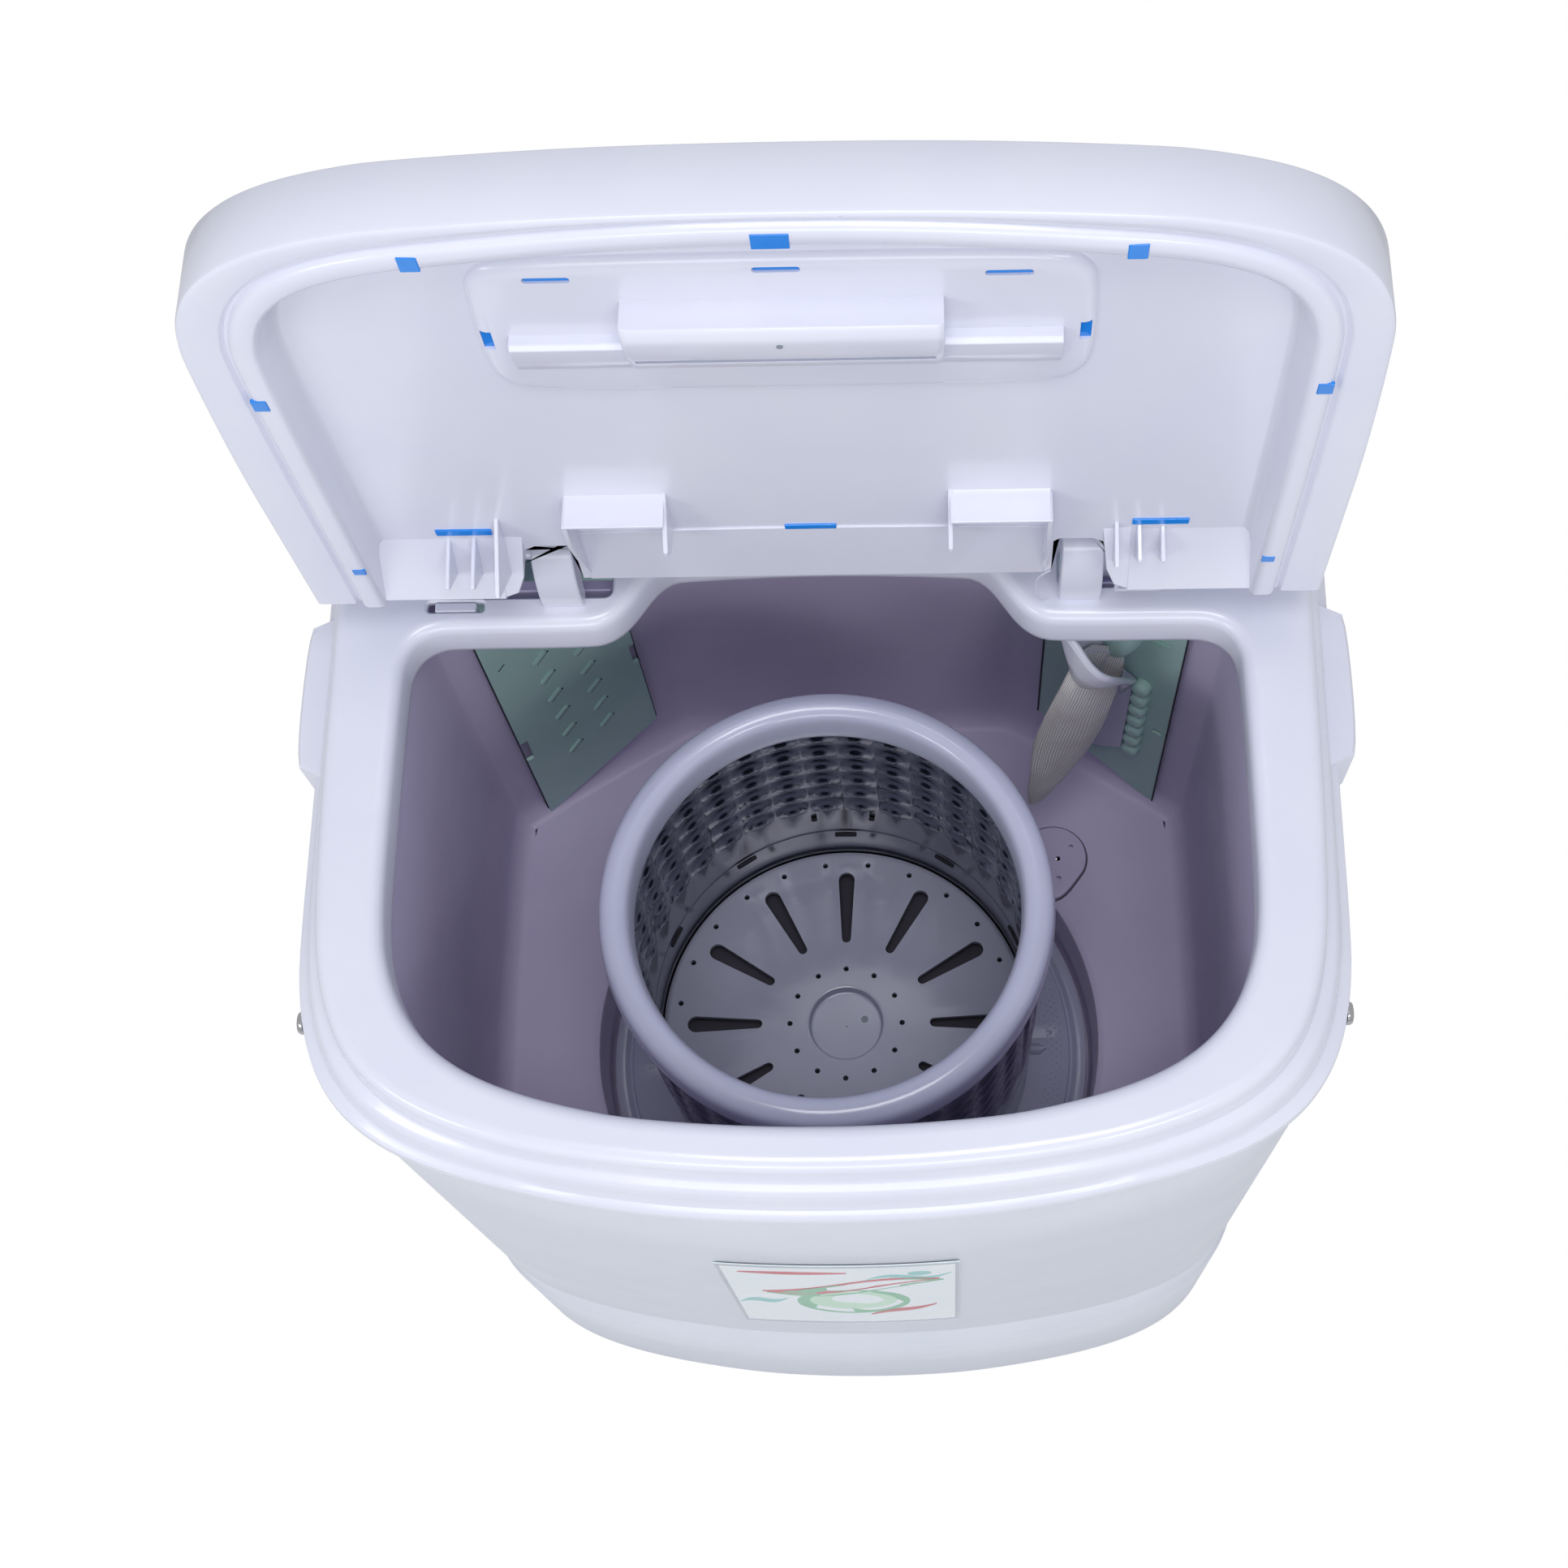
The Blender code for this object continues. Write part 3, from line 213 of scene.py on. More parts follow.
FINISH = {
    # glossy ABS, cool white: broad soft highlights along every rounded edge
    "white_plastic": moulded("gloss_white_abs", "E4E6F3", "DFE2F1", 0.24, coat=0.25),
    # moulded PP casing, a shade bluer and a little less glossy than the rim
    "body_plastic": moulded("casing_polypropylene", "DDE3EE", "D8DEEA", 0.30, coat=0.10),
    # lilac-grey PP, semi-gloss, so that the tub mirrors its own corners softly
    "tub_plastic": moulded("tub_polypropylene", "D4CBE8", "CDC4E2", 0.46, 0.06),
    # dyed clear cover: deep gloss blue
    "blue_cover": moulded("blue_acrylic", "1B8CEB", "1583E4", 0.12, coat=0.5),
    # pale mint PP, satin
    "green_plastic": moulded("mint_polypropylene", "B5D8D1", "A9CEC8", 0.40, 0.08),
    # the third colour is painted shade in the net's gaps
    "filter_net": woven_net("nylon_net", "F4F2EF", "8D8B92"),
    "stainless_steel": rolled_steel("bright_stainless", "9496A0", "787985"),
    # nickel plate over steel: bright, with slightly hazy gloss
    "screw_nickel": moulded("nickel_plate", "CFCFCF", "BDBDBD", 0.22, metallic=1.0),
    # grey-lilac ABS of the basket ring and floor, glossy
    "grey_plastic": moulded("grey_lilac_abs", "B9BBD3", "B1B4CC", 0.20, coat=0.35),
    # matt rubber
    "rubber": moulded("black_rubber", "2B2B2E", "232326", 0.80, relief=0.00006),
    # glass-filled nylon, matt black
    "black_plastic": moulded("black_nylon", "26272B", "1E1F22", 0.48, relief=0.00005),
    # zinc-plated pressings
    "motor_steel": moulded("zinc_plate", "8B8F96", "7D8188", 0.40, metallic=1.0),
    # printed film under a clear gloss
    "label_film": moulded("printed_film", "E3ECEF", "DDE7EC", 0.22, coat=0.3),
}
INK = {
    "red": moulded("red_ink", "C9616B", "BE5560", 0.30),
    "green": moulded("green_ink", "7DBB97", "6FB08B", 0.30),
    "pale_green": moulded("pale_green_ink", "BFE0C8", "B2D8BD", 0.30),
    "teal": moulded("teal_ink", "8FC9C6", "82BFBD", 0.30),
    "silver": moulded("silver_ink", "B4BEC6", "A9B4BD", 0.25, metallic=0.3),
    "grey": moulded("grey_ink", "8F98A3", "858E99", 0.35),
    # the last three inks are painted shade: dark colours put in gaps, slots, holes and under
    # the basket floor, where shade falls
    "gap": moulded("shadow_gap", "2A2733", "24212C", 0.70),
    "gap_line_shade": moulded("painted_gap_shade_line", "5A5868", "514F5E", 0.60),
    "shade": moulded("painted_underfloor_shade", "3C394B", "353242", 0.60),
}


# ---- mesh helpers -----------------------------------------------------------------------
def piece(name, bm, slot, body="root", stands_for=(), crease=34, bevel=None, skin=None,
          material=None, aim=None):
    """Turn a bmesh into a finished piece that rides on a body.

    aim is a point and a direction: the face nearest the point is made to face that way.
    """
    bmesh.ops.remove_doubles(bm, verts=bm.verts, dist=1e-6)
    bmesh.ops.recalc_face_normals(bm, faces=bm.faces)
    if aim:
        point, direction = Vector(aim[0]), Vector(aim[1])
        near = min(bm.faces, key=lambda f: (f.calc_center_median() - point).length)
        if near.normal.dot(direction) < 0:
            bmesh.ops.reverse_faces(bm, faces=bm.faces)
    bmesh.ops.translate(bm, vec=AXIS, verts=bm.verts)
    mesh = bpy.data.meshes.new(name)
    bm.to_mesh(mesh)
    bm.free()
    mesh.shade_smooth()
    mesh.set_sharp_from_angle(angle=radians(crease))
    return mesh_piece(name, mesh, slot, body, stands_for, bevel, skin, material)


def mesh_piece(name, mesh, slot, body="root", stands_for=(), bevel=None, skin=None,
               material=None):
    obj = bpy.data.objects.new(name, mesh)
    bpy.context.scene.collection.objects.link(obj)
    mesh.materials.clear()
    mesh.materials.append(material or FINISH[slot])
    if skin:
        solid = obj.modifiers.new("wall", "SOLIDIFY")
        solid.thickness, solid.offset, solid.use_even_offset = skin, -1, True
    if bevel:
        edge = obj.modifiers.new("soft_edges", "BEVEL")
        edge.width, edge.segments, edge.limit_method = bevel, 3, "ANGLE"
        edge.angle_limit = radians(40)
        edge.harden_normals = True
    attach(obj, body)
    if stands_for:
        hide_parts(*stands_for)
    return obj


def new():
    return bmesh.new()


def rings(bm, rows, closed=True, caps=(False, False)):
    """Skin rows of points; every row has the same number of points."""
    made = [[bm.verts.new(p) for p in row] for row in rows]
    for low, high in zip(made, made[1:]):
        for i in range(len(low) - (not closed)):
            j = (i + 1) % len(low)
            bm.faces.new((low[i], low[j], high[j], high[i]))
    for cap, row in zip(caps, (made[0], made[-1])):
        if cap:
            bm.faces.new(row)
    return made


def lay(points, axis):
    """Stand flat (a, b) points with their depth c up along the named axis."""
    if axis == "y":
        return [(a, c, b) for a, b, c in points]
    if axis == "x":
        return [(c, a, b) for a, b, c in points]
    return points


def prism(bm, outline, low, high, axis="z"):
    return rings(bm, [lay([(a, b, low) for a, b in outline], axis),
                      lay([(a, b, high) for a, b in outline], axis)], caps=(True, True))


def block(bm, low, high):
    (x0, y0, z0), (x1, y1, z1) = low, high
    return prism(bm, [(x0, y0), (x1, y0), (x1, y1), (x0, y1)], z0, z1)


def turned(bm, profile, steps=96, centre=(0, 0)):
    """Turn a closed (radius, height) profile about a vertical axis."""
    rows = []
    for r, z in profile + profile[:1]:
        rows.append([(centre[0] + r * cos(tau * i / steps),
                      centre[1] + r * sin(tau * i / steps), z) for i in range(steps)])
    return rings(bm, rows)


def filled(bm, *rows):
    """Fill the flat region between closed rows of vertices."""
    edges = []
    for row in rows:
        for a, b in zip(row, row[1:] + row[:1]):
            edges.append(bm.edges.get((a, b)) or bm.edges.new((a, b)))
    bmesh.ops.triangle_fill(bm, use_beauty=True, use_dissolve=False, edges=edges)


def tube(bm, path, radius, sides=10):
    """A round bar along a path; radius is one number, or one for each point."""
    points = [Vector(p) for p in path]
    radii = radius if isinstance(radius, (list, tuple)) else [radius] * len(points)
    count = len(points)
    rows = []
    side = None
    for i, point in enumerate(points):
        along = (points[min(i + 1, count - 1)] - points[max(i - 1, 0)]).normalized()
        if side is None:
            side = along.orthogonal().normalized()
        side = (side - along * side.dot(along)).normalized()
        up = along.cross(side)
        rows.append([point + radii[i] * (side * cos(tau * k / sides)
                                         + up * sin(tau * k / sides))
                     for k in range(sides)])
    return rings(bm, rows, caps=(True, True))


def array_tree():
    """Geometry Nodes: repeats a shape in columns and rows, turned and stepped."""
    tree = bpy.data.node_groups.new("repeat_shape", "GeometryNodeTree")
    for kind, name in (("Geometry", "Shape"), ("Int", "Columns"), ("Int", "Rows"),
                       ("Float", "Turn"), ("Vector", "Across"), ("Vector", "Along"),
                       ("Vector", "Pivot"), ("Material", "Finish")):
        tree.interface.new_socket(name, in_out="INPUT", socket_type="NodeSocket" + kind)
    tree.interface.new_socket("Shape", in_out="OUTPUT", socket_type="NodeSocketGeometry")
    given = node(tree, "NodeGroupInput").outputs
    total = node(tree, "ShaderNodeMath", {0: given["Columns"], 1: given["Rows"]},
                 operation="MULTIPLY").outputs[0]
    index = node(tree, "GeometryNodeInputIndex").outputs[0]
    column = node(tree, "ShaderNodeMath", {0: index, 1: given["Columns"]},
                  operation="MODULO").outputs[0]
    share = node(tree, "ShaderNodeMath", {0: index, 1: given["Columns"]},
                 operation="DIVIDE").outputs[0]
    row = node(tree, "ShaderNodeMath", {0: share}, operation="FLOOR").outputs[0]
    steps = []
    for step, count in ((given["Across"], column), (given["Along"], row)):
        steps.append(node(tree, "ShaderNodeVectorMath", {0: step, "Scale": count},
                          operation="SCALE").outputs[0])
    moved = node(tree, "ShaderNodeVectorMath", {0: steps[0], 1: steps[1]},
                 operation="ADD").outputs[0]
    place = node(tree, "ShaderNodeVectorMath", {0: moved, 1: given["Pivot"]},
                 operation="ADD").outputs[0]
    points = node(tree, "GeometryNodePoints", {"Count": total, "Position": place})
    angle = node(tree, "ShaderNodeMath", {0: column, 1: given["Turn"]},
                 operation="MULTIPLY").outputs[0]
    turn = node(tree, "ShaderNodeCombineXYZ", {"Z": angle})
    back = node(tree, "ShaderNodeVectorMath", {0: given["Pivot"], "Scale": -1.0},
                operation="SCALE").outputs[0]
    centred = node(tree, "GeometryNodeTransform", {"Geometry": given["Shape"],
                                                   "Translation": back})
    copies = node(tree, "GeometryNodeInstanceOnPoints",
                  {"Points": points.outputs[0], "Instance": centred.outputs[0],
                   "Rotation": turn.outputs[0]})
    real = node(tree, "GeometryNodeRealizeInstances", {"Geometry": copies.outputs[0]})
    dressed = node(tree, "GeometryNodeSetMaterial", {"Geometry": real.outputs[0],
                                                     "Material": given["Finish"]})
    node(tree, "NodeGroupOutput", {"Shape": dressed.outputs[0]})
    return tree


REPEAT = array_tree()


def repeated(bm, material, columns=1, rows=1, turn=0.0, across=(0, 0, 0),
             along=(0, 0, 0), pivot=(0, 0, 0)):
    """The shape in bm, repeated by the Geometry Nodes tree, as a new bmesh."""
    mesh = bpy.data.meshes.new("shape")
    bm.to_mesh(mesh)
    bm.free()
    obj = bpy.data.objects.new("shape", mesh)
    bpy.context.scene.collection.objects.link(obj)
    modifier = obj.modifiers.new("repeat", "NODES")
    modifier.node_group = REPEAT
    values = {"Columns": columns, "Rows": rows, "Turn": turn, "Across": across,
              "Along": along, "Pivot": pivot, "Finish": material}
    for item in REPEAT.interface.items_tree:
        if item.in_out == "INPUT" and item.name in values:
            modifier[item.identifier] = values[item.name]
    obj.update_tag()
    graph = bpy.context.evaluated_depsgraph_get()
    result = bpy.data.meshes.new_from_object(obj.evaluated_get(graph))
    bpy.data.objects.remove(obj)
    made = bmesh.new()
    made.from_mesh(result)
    for face in made.faces:
        face.material_index = 0
    bpy.data.meshes.remove(result)
    return made


def merged(bm, other):
    """Add the mesh in other to bm."""
    mesh = bpy.data.meshes.new("part")
    other.to_mesh(mesh)
    other.free()
    bm.from_mesh(mesh)
    bpy.data.meshes.remove(mesh)
    return bm


def carved(bm, cutter, operation="DIFFERENCE"):
    """bm cut by the closed shapes in cutter."""
    objects = []
    for shape in (bm, cutter):
        bmesh.ops.recalc_face_normals(shape, faces=shape.faces)
        mesh = bpy.data.meshes.new("carving")
        shape.to_mesh(mesh)
        shape.free()
        obj = bpy.data.objects.new("carving", mesh)
        bpy.context.scene.collection.objects.link(obj)
        objects.append(obj)
    boolean = objects[0].modifiers.new("carve", "BOOLEAN")
    boolean.operation, boolean.object, boolean.solver = operation, objects[1], "EXACT"
    boolean.use_self = True
    graph = bpy.context.evaluated_depsgraph_get()
    result = bpy.data.meshes.new_from_object(objects[0].evaluated_get(graph))
    for obj in objects:
        bpy.data.objects.remove(obj)
    made = bmesh.new()
    made.from_mesh(result)
    bpy.data.meshes.remove(result)
    return made


# ---- outlines ---------------------------------------------------------------------------
def arc(centre, radius, start, end, count):
    angles = [radians(start + (end - start) * i / (count - 1)) for i in range(count)]
    return [(centre[0] + radius * cos(a), centre[1] + radius * sin(a)) for a in angles]


def curve(p0, p1, p2, p3, count):
    """Points along a cubic curve, without its first point."""
    points = []
    for i in range(1, count + 1):
        t = i / count
        weights = ((1 - t) ** 3, 3 * t * (1 - t) ** 2, 3 * t * t * (1 - t), t ** 3)
        points.append(tuple(sum(w * p[k] for w, p in zip(weights, (p0, p1, p2, p3)))
                            for k in (0, 1)))
    return points


def mirrored(half):
    inner = half[1:-1] if abs(half[0][0]) < 1e-9 else half
    return half + [(-x, y) for x, y in reversed(inner)]


def softened(outline, rounds=3, closed=True):
    """Cut the corners of an outline until it runs smoothly."""
    for _ in range(rounds):
        following = outline[1:] + outline[:1] if closed else outline[1:]
        result = [] if closed else [outline[0]]
        for a, b in zip(outline, following):
            a, b = Vector(a), Vector(b)
            result += [tuple(a.lerp(b, 0.25)), tuple(a.lerp(b, 0.75))]
        outline = result if closed else result[:1] + result[2:-1] + [tuple(outline[-1])]
    return outline


def grown(outline, amount, closed=True):
    """Move an outline outward by an amount; an open one keeps its ends' direction."""
    if not amount:
        return list(outline)
    before = outline[-1:] + outline[:-1] if closed else outline[:1] + outline[:-1]
    after = outline[1:] + outline[:1] if closed else outline[1:] + outline[-1:]
    area = sum(a[0] * b[1] - b[0] * a[1] for a, b in zip(outline, outline[1:] + outline[:1]))
    side = amount if area > 0 else -amount
    result = []
    for low, here, high in zip(before, outline, after):
        one = Vector(here) - Vector(low)
        two = Vector(high) - Vector(here)
        one = (one if one.length > 1e-9 else two).normalized()
        two = (two if two.length > 1e-9 else one).normalized()
        normal = Vector((one.y + two.y, -one.x - two.x)).normalized()
        stretch = max(0.6, normal.dot(Vector((one.y, -one.x))))
        result.append(tuple(Vector(here) + normal * (side / stretch)))
    return result


def casing_outline(grow=0.0, swell=0.0):
    """Plan of the casing: the rim's edge at swell 0, the wider skirt at swell 1."""
    back_r = 0.030
    rim = [(0.0, RIM_BACK)]
    rim += arc((HALF_WIDTH - back_r, RIM_BACK - back_r), back_r, 90, 0, 6)
    rim += [(0.2238, 0.100), (0.2232, 0.040), (0.221, -0.015)]
    rim += curve((0.221, -0.015), (0.217, -0.085), (0.195, -0.110), (0.120, -0.127), 9)
    rim += [(0.090, -0.1315), (0.062, -0.1345), (0.030, -0.1365), (0.0, -RIM_FRONT)]
    skirt = [(0.0, RIM_BACK + SKIRT)]
    skirt += arc((HALF_WIDTH + SKIRT - back_r, RIM_BACK + SKIRT - back_r), back_r, 90, 0, 6)
    skirt += [(0.2368, 0.100), (0.2360, 0.040), (0.2355, -0.030)]
    skirt += curve((0.2355, -0.030), (0.232, -0.100), (0.205, -0.122), (0.125, -0.138), 9)
    skirt += [(0.092, -0.1435), (0.062, -0.1472), (0.030, -0.1490),
              (0.0, -RIM_FRONT - SKIRT)]
    half = [tuple(Vector(a).lerp(Vector(b), swell)) for a, b in zip(rim, skirt)]
    return grown(softened(mirrored(half), 2), grow)


def tub_outline(grow=0.0, front=TUB_FRONT):
    """Plan of the tub's inside, with its two rear corners cut off."""
    half = [(0.0, TUB_BACK), (0.090, TUB_BACK), (0.098, TUB_BACK - 0.0018)]
    half += [(TUB_SIDE - 0.006, 0.1345), (TUB_SIDE - 0.001, 0.1270), (TUB_SIDE, 0.030)]
    half += [(TUB_SIDE - 0.001, -0.040)]
    half += curve((TUB_SIDE - 0.001, -0.040), (0.190, -0.100), (0.150, 0.017 - front),
                  (0.085, 0.006 - front), 8)
    half += [(0.045, 0.001 - front), (0.0, -front)]
    return grown(softened(mirrored(half), 2), grow)


def mouth_outline(grow=0.0):
    """Plan of the mouth in the upper frame, wider in front and narrow at the back."""
    half = [(0.0, 0.1490), (0.066, 0.1465)]
    half += curve((0.066, 0.1465), (0.084, 0.1450), (0.084, 0.114), (0.108, 0.1130), 8)
    half += [(0.170, 0.1130)]
    half += curve((0.170, 0.1130), (0.185, 0.1130), (0.191, 0.104), (0.191, 0.090), 5)
    half += [(0.1915, 0.000), (0.190, -0.031)]
    half += curve((0.190, -0.031), (0.181, -0.085), (0.150, -0.100), (0.080, -0.1125), 9)
    half += [(0.040, -0.1158), (0.0, -0.117)]
    return grown(softened(mirrored(half), 2), grow)


def lid_side(bottom=LID_BOTTOM):
    """Open outline (x, z) of the raised lid, from its lower right end over to its left."""
    half = [(LID_HALF, bottom), (LID_HALF, 0.100), (LID_HALF, 0.160),
            (LID_HALF - 0.003, 0.235)]
    half += curve((LID_HALF - 0.003, 0.235), (0.213, 0.285), (0.187, 0.305),
                  (0.130, LID_TOP - 0.006), 9)
    half += [(0.065, LID_TOP - 0.001), (0.0, LID_TOP)]
    return softened(half + [(-x, z) for x, z in reversed(half[:-1])], 2, closed=False)


def rounded(half_x, low_y, high_y, radius, count=8, centre=0.0):
    x = half_x - radius
    points = arc((x, high_y - radius), radius, 90, 0, count)
    points += arc((x, low_y + radius), radius, 0, -90, count)
    points += [(-px, py) for px, py in reversed(points)]
    return [(px + centre, py) for px, py in points]


def at_height(outline, z):
    return [(x, y, z) for x, y in outline]


def smooth_step(value, low, high):
    t = min(1.0, max(0.0, (value - low) / (high - low)))
    return t * t * (3 - 2 * t)


# ---- casing -----------------------------------------------------------------------------
def casing_ring(z, swell, grow, hang=0.0):
    """The casing's plan at one height; hang lowers its front middle."""
    points = []
    for x, y in casing_outline(grow, swell):
        middle = 1 - smooth_step(abs(x), 0.104, 0.136) if y < -0.08 else 0
        points.append((x, y, z - hang * middle))
    return points


def make_upper_frame():
    """Rim with its soft mouth, beads down the skirt, arm pockets and a slot."""
    bm = new()
    outside = [(0, 0, -0.0068, 0), (0, 0, -0.0060, 0), (-0.0004, 0, -0.0035, 0),
               (-0.0016, 0, -0.0014, 0), (-0.0035, 0, -0.0003, 0), (-0.0060, 0, 0, 0),
               (-0.0150, 0.06, 0, 0), (-0.0172, 0.10, 0, 0), (-0.0184, 0.20, 0, 0),
               (-0.0192, 0.34, 0, 0), (-0.0210, 0.46, 0, 0), (-0.0240, 0.53, 0, 0),
               (-0.0290, 0.60, 0, 0.001), (-0.0325, 0.64, 0, 0.003),
               (-0.0338, 0.72, 0, 0.005), (-0.0346, 0.86, 0, 0.0055),
               (-0.0362, 0.97, 0, 0.0055), (-0.0392, 1, 0, 0.0055),
               (-0.0440, 1, 0, 0.0055), (-0.0452, 0.985, 0, 0.0055),
               (-0.0464, 0.95, 0, 0.0055)]
    inside = [(-0.0464, 0.93, -0.0015, 0.0055), (-0.0440, 0.98, -0.0024, 0.0055),
              (-0.0385, 0.95, -0.0030, 0.0055), (-0.0350, 0.68, -0.0030, 0.004),
              (-0.0240, 0.50, -0.0030, 0), (-0.0190, 0.12, -0.0030, 0),
              (-0.0035, 0, -0.0060, 0)]
    skin = rings(bm, [casing_ring(*station) for station in outside + inside])
    mouth = [(0.0068, 0), (0.0060, 0), (0.0040, -0.0004), (0.0020, -0.0016),
             (0.0007, -0.0035), (0, -0.0065), (0, -0.0200), (0.0003, -0.0228),
             (0.0012, -0.0240), (0.0022, -0.0245), (0.0030, -0.0240), (0.0030, -0.0035)]
    lip = rings(bm, [at_height(mouth_outline(grow), z) for grow, z in mouth])
    holes = [rounded(0.0315, 0.1285, 0.1500, 0.004, 5, -0.1275),
             rounded(0.0255, 0.1300, 0.1500, 0.004, 5, 0.1345)]
    holes.append(rounded(0.0132, 0.1218, 0.1270, 0.0015, 4, -0.1682))
    sunk = [rings(bm, [at_height(grown(hole, 0.0010), 0), at_height(hole, -0.0010),
                       at_height(hole, -0.0035)]) for hole in holes]
    filled(bm, skin[0], lip[0], *[hole[0] for hole in sunk])
    filled(bm, skin[-1], lip[-1], *[hole[-1] for hole in sunk])
    piece("rim_and_skirt", bm, "white_plastic", stands_for=["upper_frame"],
          aim=((0.205, 0, 0), (0, 0, 1)))

    bm = new()
    side_view = [(0.1235, -0.0015), (0.1222, 0.0060), (0.1225, 0.0160), (0.1255, 0.0310),
                 (0.1305, 0.0400)]
    side_view += arc((PIVOT_Y, PIVOT_Z), 0.0085, 130, -115, 14)
    side_view += [(0.1352, 0.0200), (0.1322, 0.0100), (0.1312, -0.0015)]
    for side in (-1, 1):
        prism(bm, softened(side_view, 1), *sorted((side * ARM_IN, side * ARM_OUT)), "x")
    piece("hinge_arms", bm, "white_plastic", bevel=0.0012)
    bm = new()
    spring = [(0.1030, 0.1200, 0.0370), (0.0985, 0.1210, 0.0300), (0.0970, 0.1212, 0.0220),
              (0.0978, 0.1222, 0.0100), (0.1030, 0.1235, 0.0000)]
    tube(bm, softened(spring, 3, closed=False), 0.0004, 8)
    piece("hinge_spring_wire", bm, "white_plastic")
    bm = new()
    for side in (-1, 1):
        low, high = sorted((side * (ARM_IN - 0.0065), side * (ARM_OUT + 0.002)))
        prism(bm, arc((PIVOT_Y, PIVOT_Z), 0.0030, 0, 345, 24), low, high, "x")
    piece("hinge_pins", bm, "white_plastic", bevel=0.0004,
          stands_for=["hinge_pin_left", "hinge_pin_right"])

    bm = new()
    block(bm, (-0.1778, 0.1220, -0.0120), (-0.1588, 0.1267, -0.0002))
    piece("slot_tongue", bm, "white_plastic", bevel=0.0008)
    bm = new()
    for side in (-1, 1):
        low, high = sorted((side * 0.0975, side * 0.1595))
        block(bm, (low, 0.1345, -0.0132), (high, 0.1430, -0.0120))
        block(bm, (low, 0.1335, -0.0132), (high, 0.1345, -0.0040))
    piece("pocket_ledges", bm, "tub_plastic", bevel=0.0003)


def make_cabinet():
    bm = new()
    rows = [(CABINET_TOP, -0.0060), (CABINET_TOP, -0.0040), (CABINET_TOP - 0.0005, -0.0035),
            (CABINET_BOTTOM + 0.0012, -0.0035), (CABINET_BOTTOM + 0.0003, -0.0040),
            (CABINET_BOTTOM, -0.0048), (CABINET_BOTTOM, -0.0060)]
    rings(bm, [casing_ring(z, 1, grow) for z, grow in rows + rows[:1]])
    piece("casing_wall", bm, "body_plastic", stands_for=["cabinet"],
          aim=((0.25, 0, -0.2), (1, 0, 0)))

    back = RIM_BACK + SKIRT - 0.0035 + 0.0003
    bm = new()
    prism(bm, [(-a, b) for a, b in rounded(0.132, -0.412, -0.118, 0.006)], back,
          back + 0.0020, "y")
    slot = new()
    prism(slot, rounded(0.0270, -0.1495, -0.1465, 0.0014, 6, -0.062), back - 0.001,
          back + 0.01, "y")
    vents = repeated(slot, FINISH["body_plastic"], 3, 12, across=(0.062, 0, 0),
                     along=(0, 0, -0.0085))
    piece("service_cover", carved(bm, vents), "body_plastic", stands_for=["rear_cover"],
          bevel=0.0004)
    # painted shade: a flat dark sheet behind the vent slots stands in for the shade inside
    # the casing
    bm = new()
    block(bm, (-0.10, back - 0.0002, -0.255), (0.10, back + 0.0002, -0.140))
    piece("vent_shade_sheet", bm, "body_plastic", material=INK["gap"])
    screw = pan_head((-0.124, back + 0.0010, -0.126), (0, 1, 0), 0.0036)
    piece("cover_screws", repeated(screw, FINISH["screw_nickel"], 2, 3,
                                   across=(0.248, 0, 0), along=(0, 0, -0.139)),
          "screw_nickel")


def pan_head(place, outward, radius):
    """A cross-slot pan head screw that faces outward."""
    bm = new()
    height = radius * 0.55
    turned(bm, [(radius * 0.001, 0), (radius, 0), (radius, height * 0.45),
                (radius * 0.86, height * 0.85), (radius * 0.55, height),
                (radius * 0.001, height)], 32)
    bmesh.ops.remove_doubles(bm, verts=bm.verts, dist=1e-5)
    cross = new()
    for angle in (0, pi / 2):
        part = new()
        block(part, (-radius * 0.55, -radius * 0.09, height * 0.4),
              (radius * 0.55, radius * 0.09, height * 1.5))
        bmesh.ops.rotate(part, verts=part.verts, matrix=Matrix.Rotation(angle + 0.4, 3, "Z"))
        merged(cross, part)
    bm = carved(bm, cross)
    turn = Vector((0, 0, 1)).rotation_difference(Vector(outward)).to_matrix()
    bmesh.ops.rotate(bm, verts=bm.verts, matrix=turn)
    bmesh.ops.translate(bm, verts=bm.verts, vec=Vector(place))
    return bm


def make_base():
    bm = new()
    rows = [(BASE_TOP, -0.0065), (BASE_TOP, -0.0045), (BASE_TOP - 0.0006, -0.0037),
            (BASE_TOP - 0.0014, -0.0035), (BASE_TOP - 0.040, -0.0030),
            (BASE_TOP - 0.045, -0.0012), (BASE_TOP - 0.047, -0.0010),
            (BASE_BOTTOM + 0.0020, -0.0005), (BASE_BOTTOM + 0.0005, -0.0010),
            (BASE_BOTTOM, -0.0022), (BASE_BOTTOM, -0.0040)]
    rings(bm, [casing_ring(z, 1, grow) for z, grow in rows + rows[:1]])
    piece("base_skirt", bm, "body_plastic", stands_for=["base_frame"],
          aim=((0.25, 0, -0.5), (1, 0, 0)))
    feet = {}
    bosses = new()
    for side, word in ((-1, "left"), (1, "right")):
        for end, x, y in (("front", 0.190, -0.090), ("rear", 0.2125, 0.1915)):
            turned(bosses, [(0.0005, BASE_BOTTOM), (0.022, BASE_BOTTOM),
                            (0.0215, BASE_BOTTOM + 0.030), (0.0005, BASE_BOTTOM + 0.030)],
                   40, (side * x, y))
            feet[f"foot_{end}_{word}"] = (side * x, y)
    piece("foot_bosses", bosses, "body_plastic")
    for name, place in feet.items():
        bm = new()
        turned(bm, [(0.0005, -0.6197), (0.0100, -0.6197), (0.0105, -0.6200),
                    (0.0145, -0.6200), (0.0150, -0.6195), (0.0158, -0.6150),
                    (0.0166, -0.6145), (0.0172, -0.6120), (0.0180, -0.6113),
                    (0.0180, -0.6083), (0.0005, -0.6083)], 56, place)
        piece(name + "_moulded", bm, "rubber", stands_for=[name])


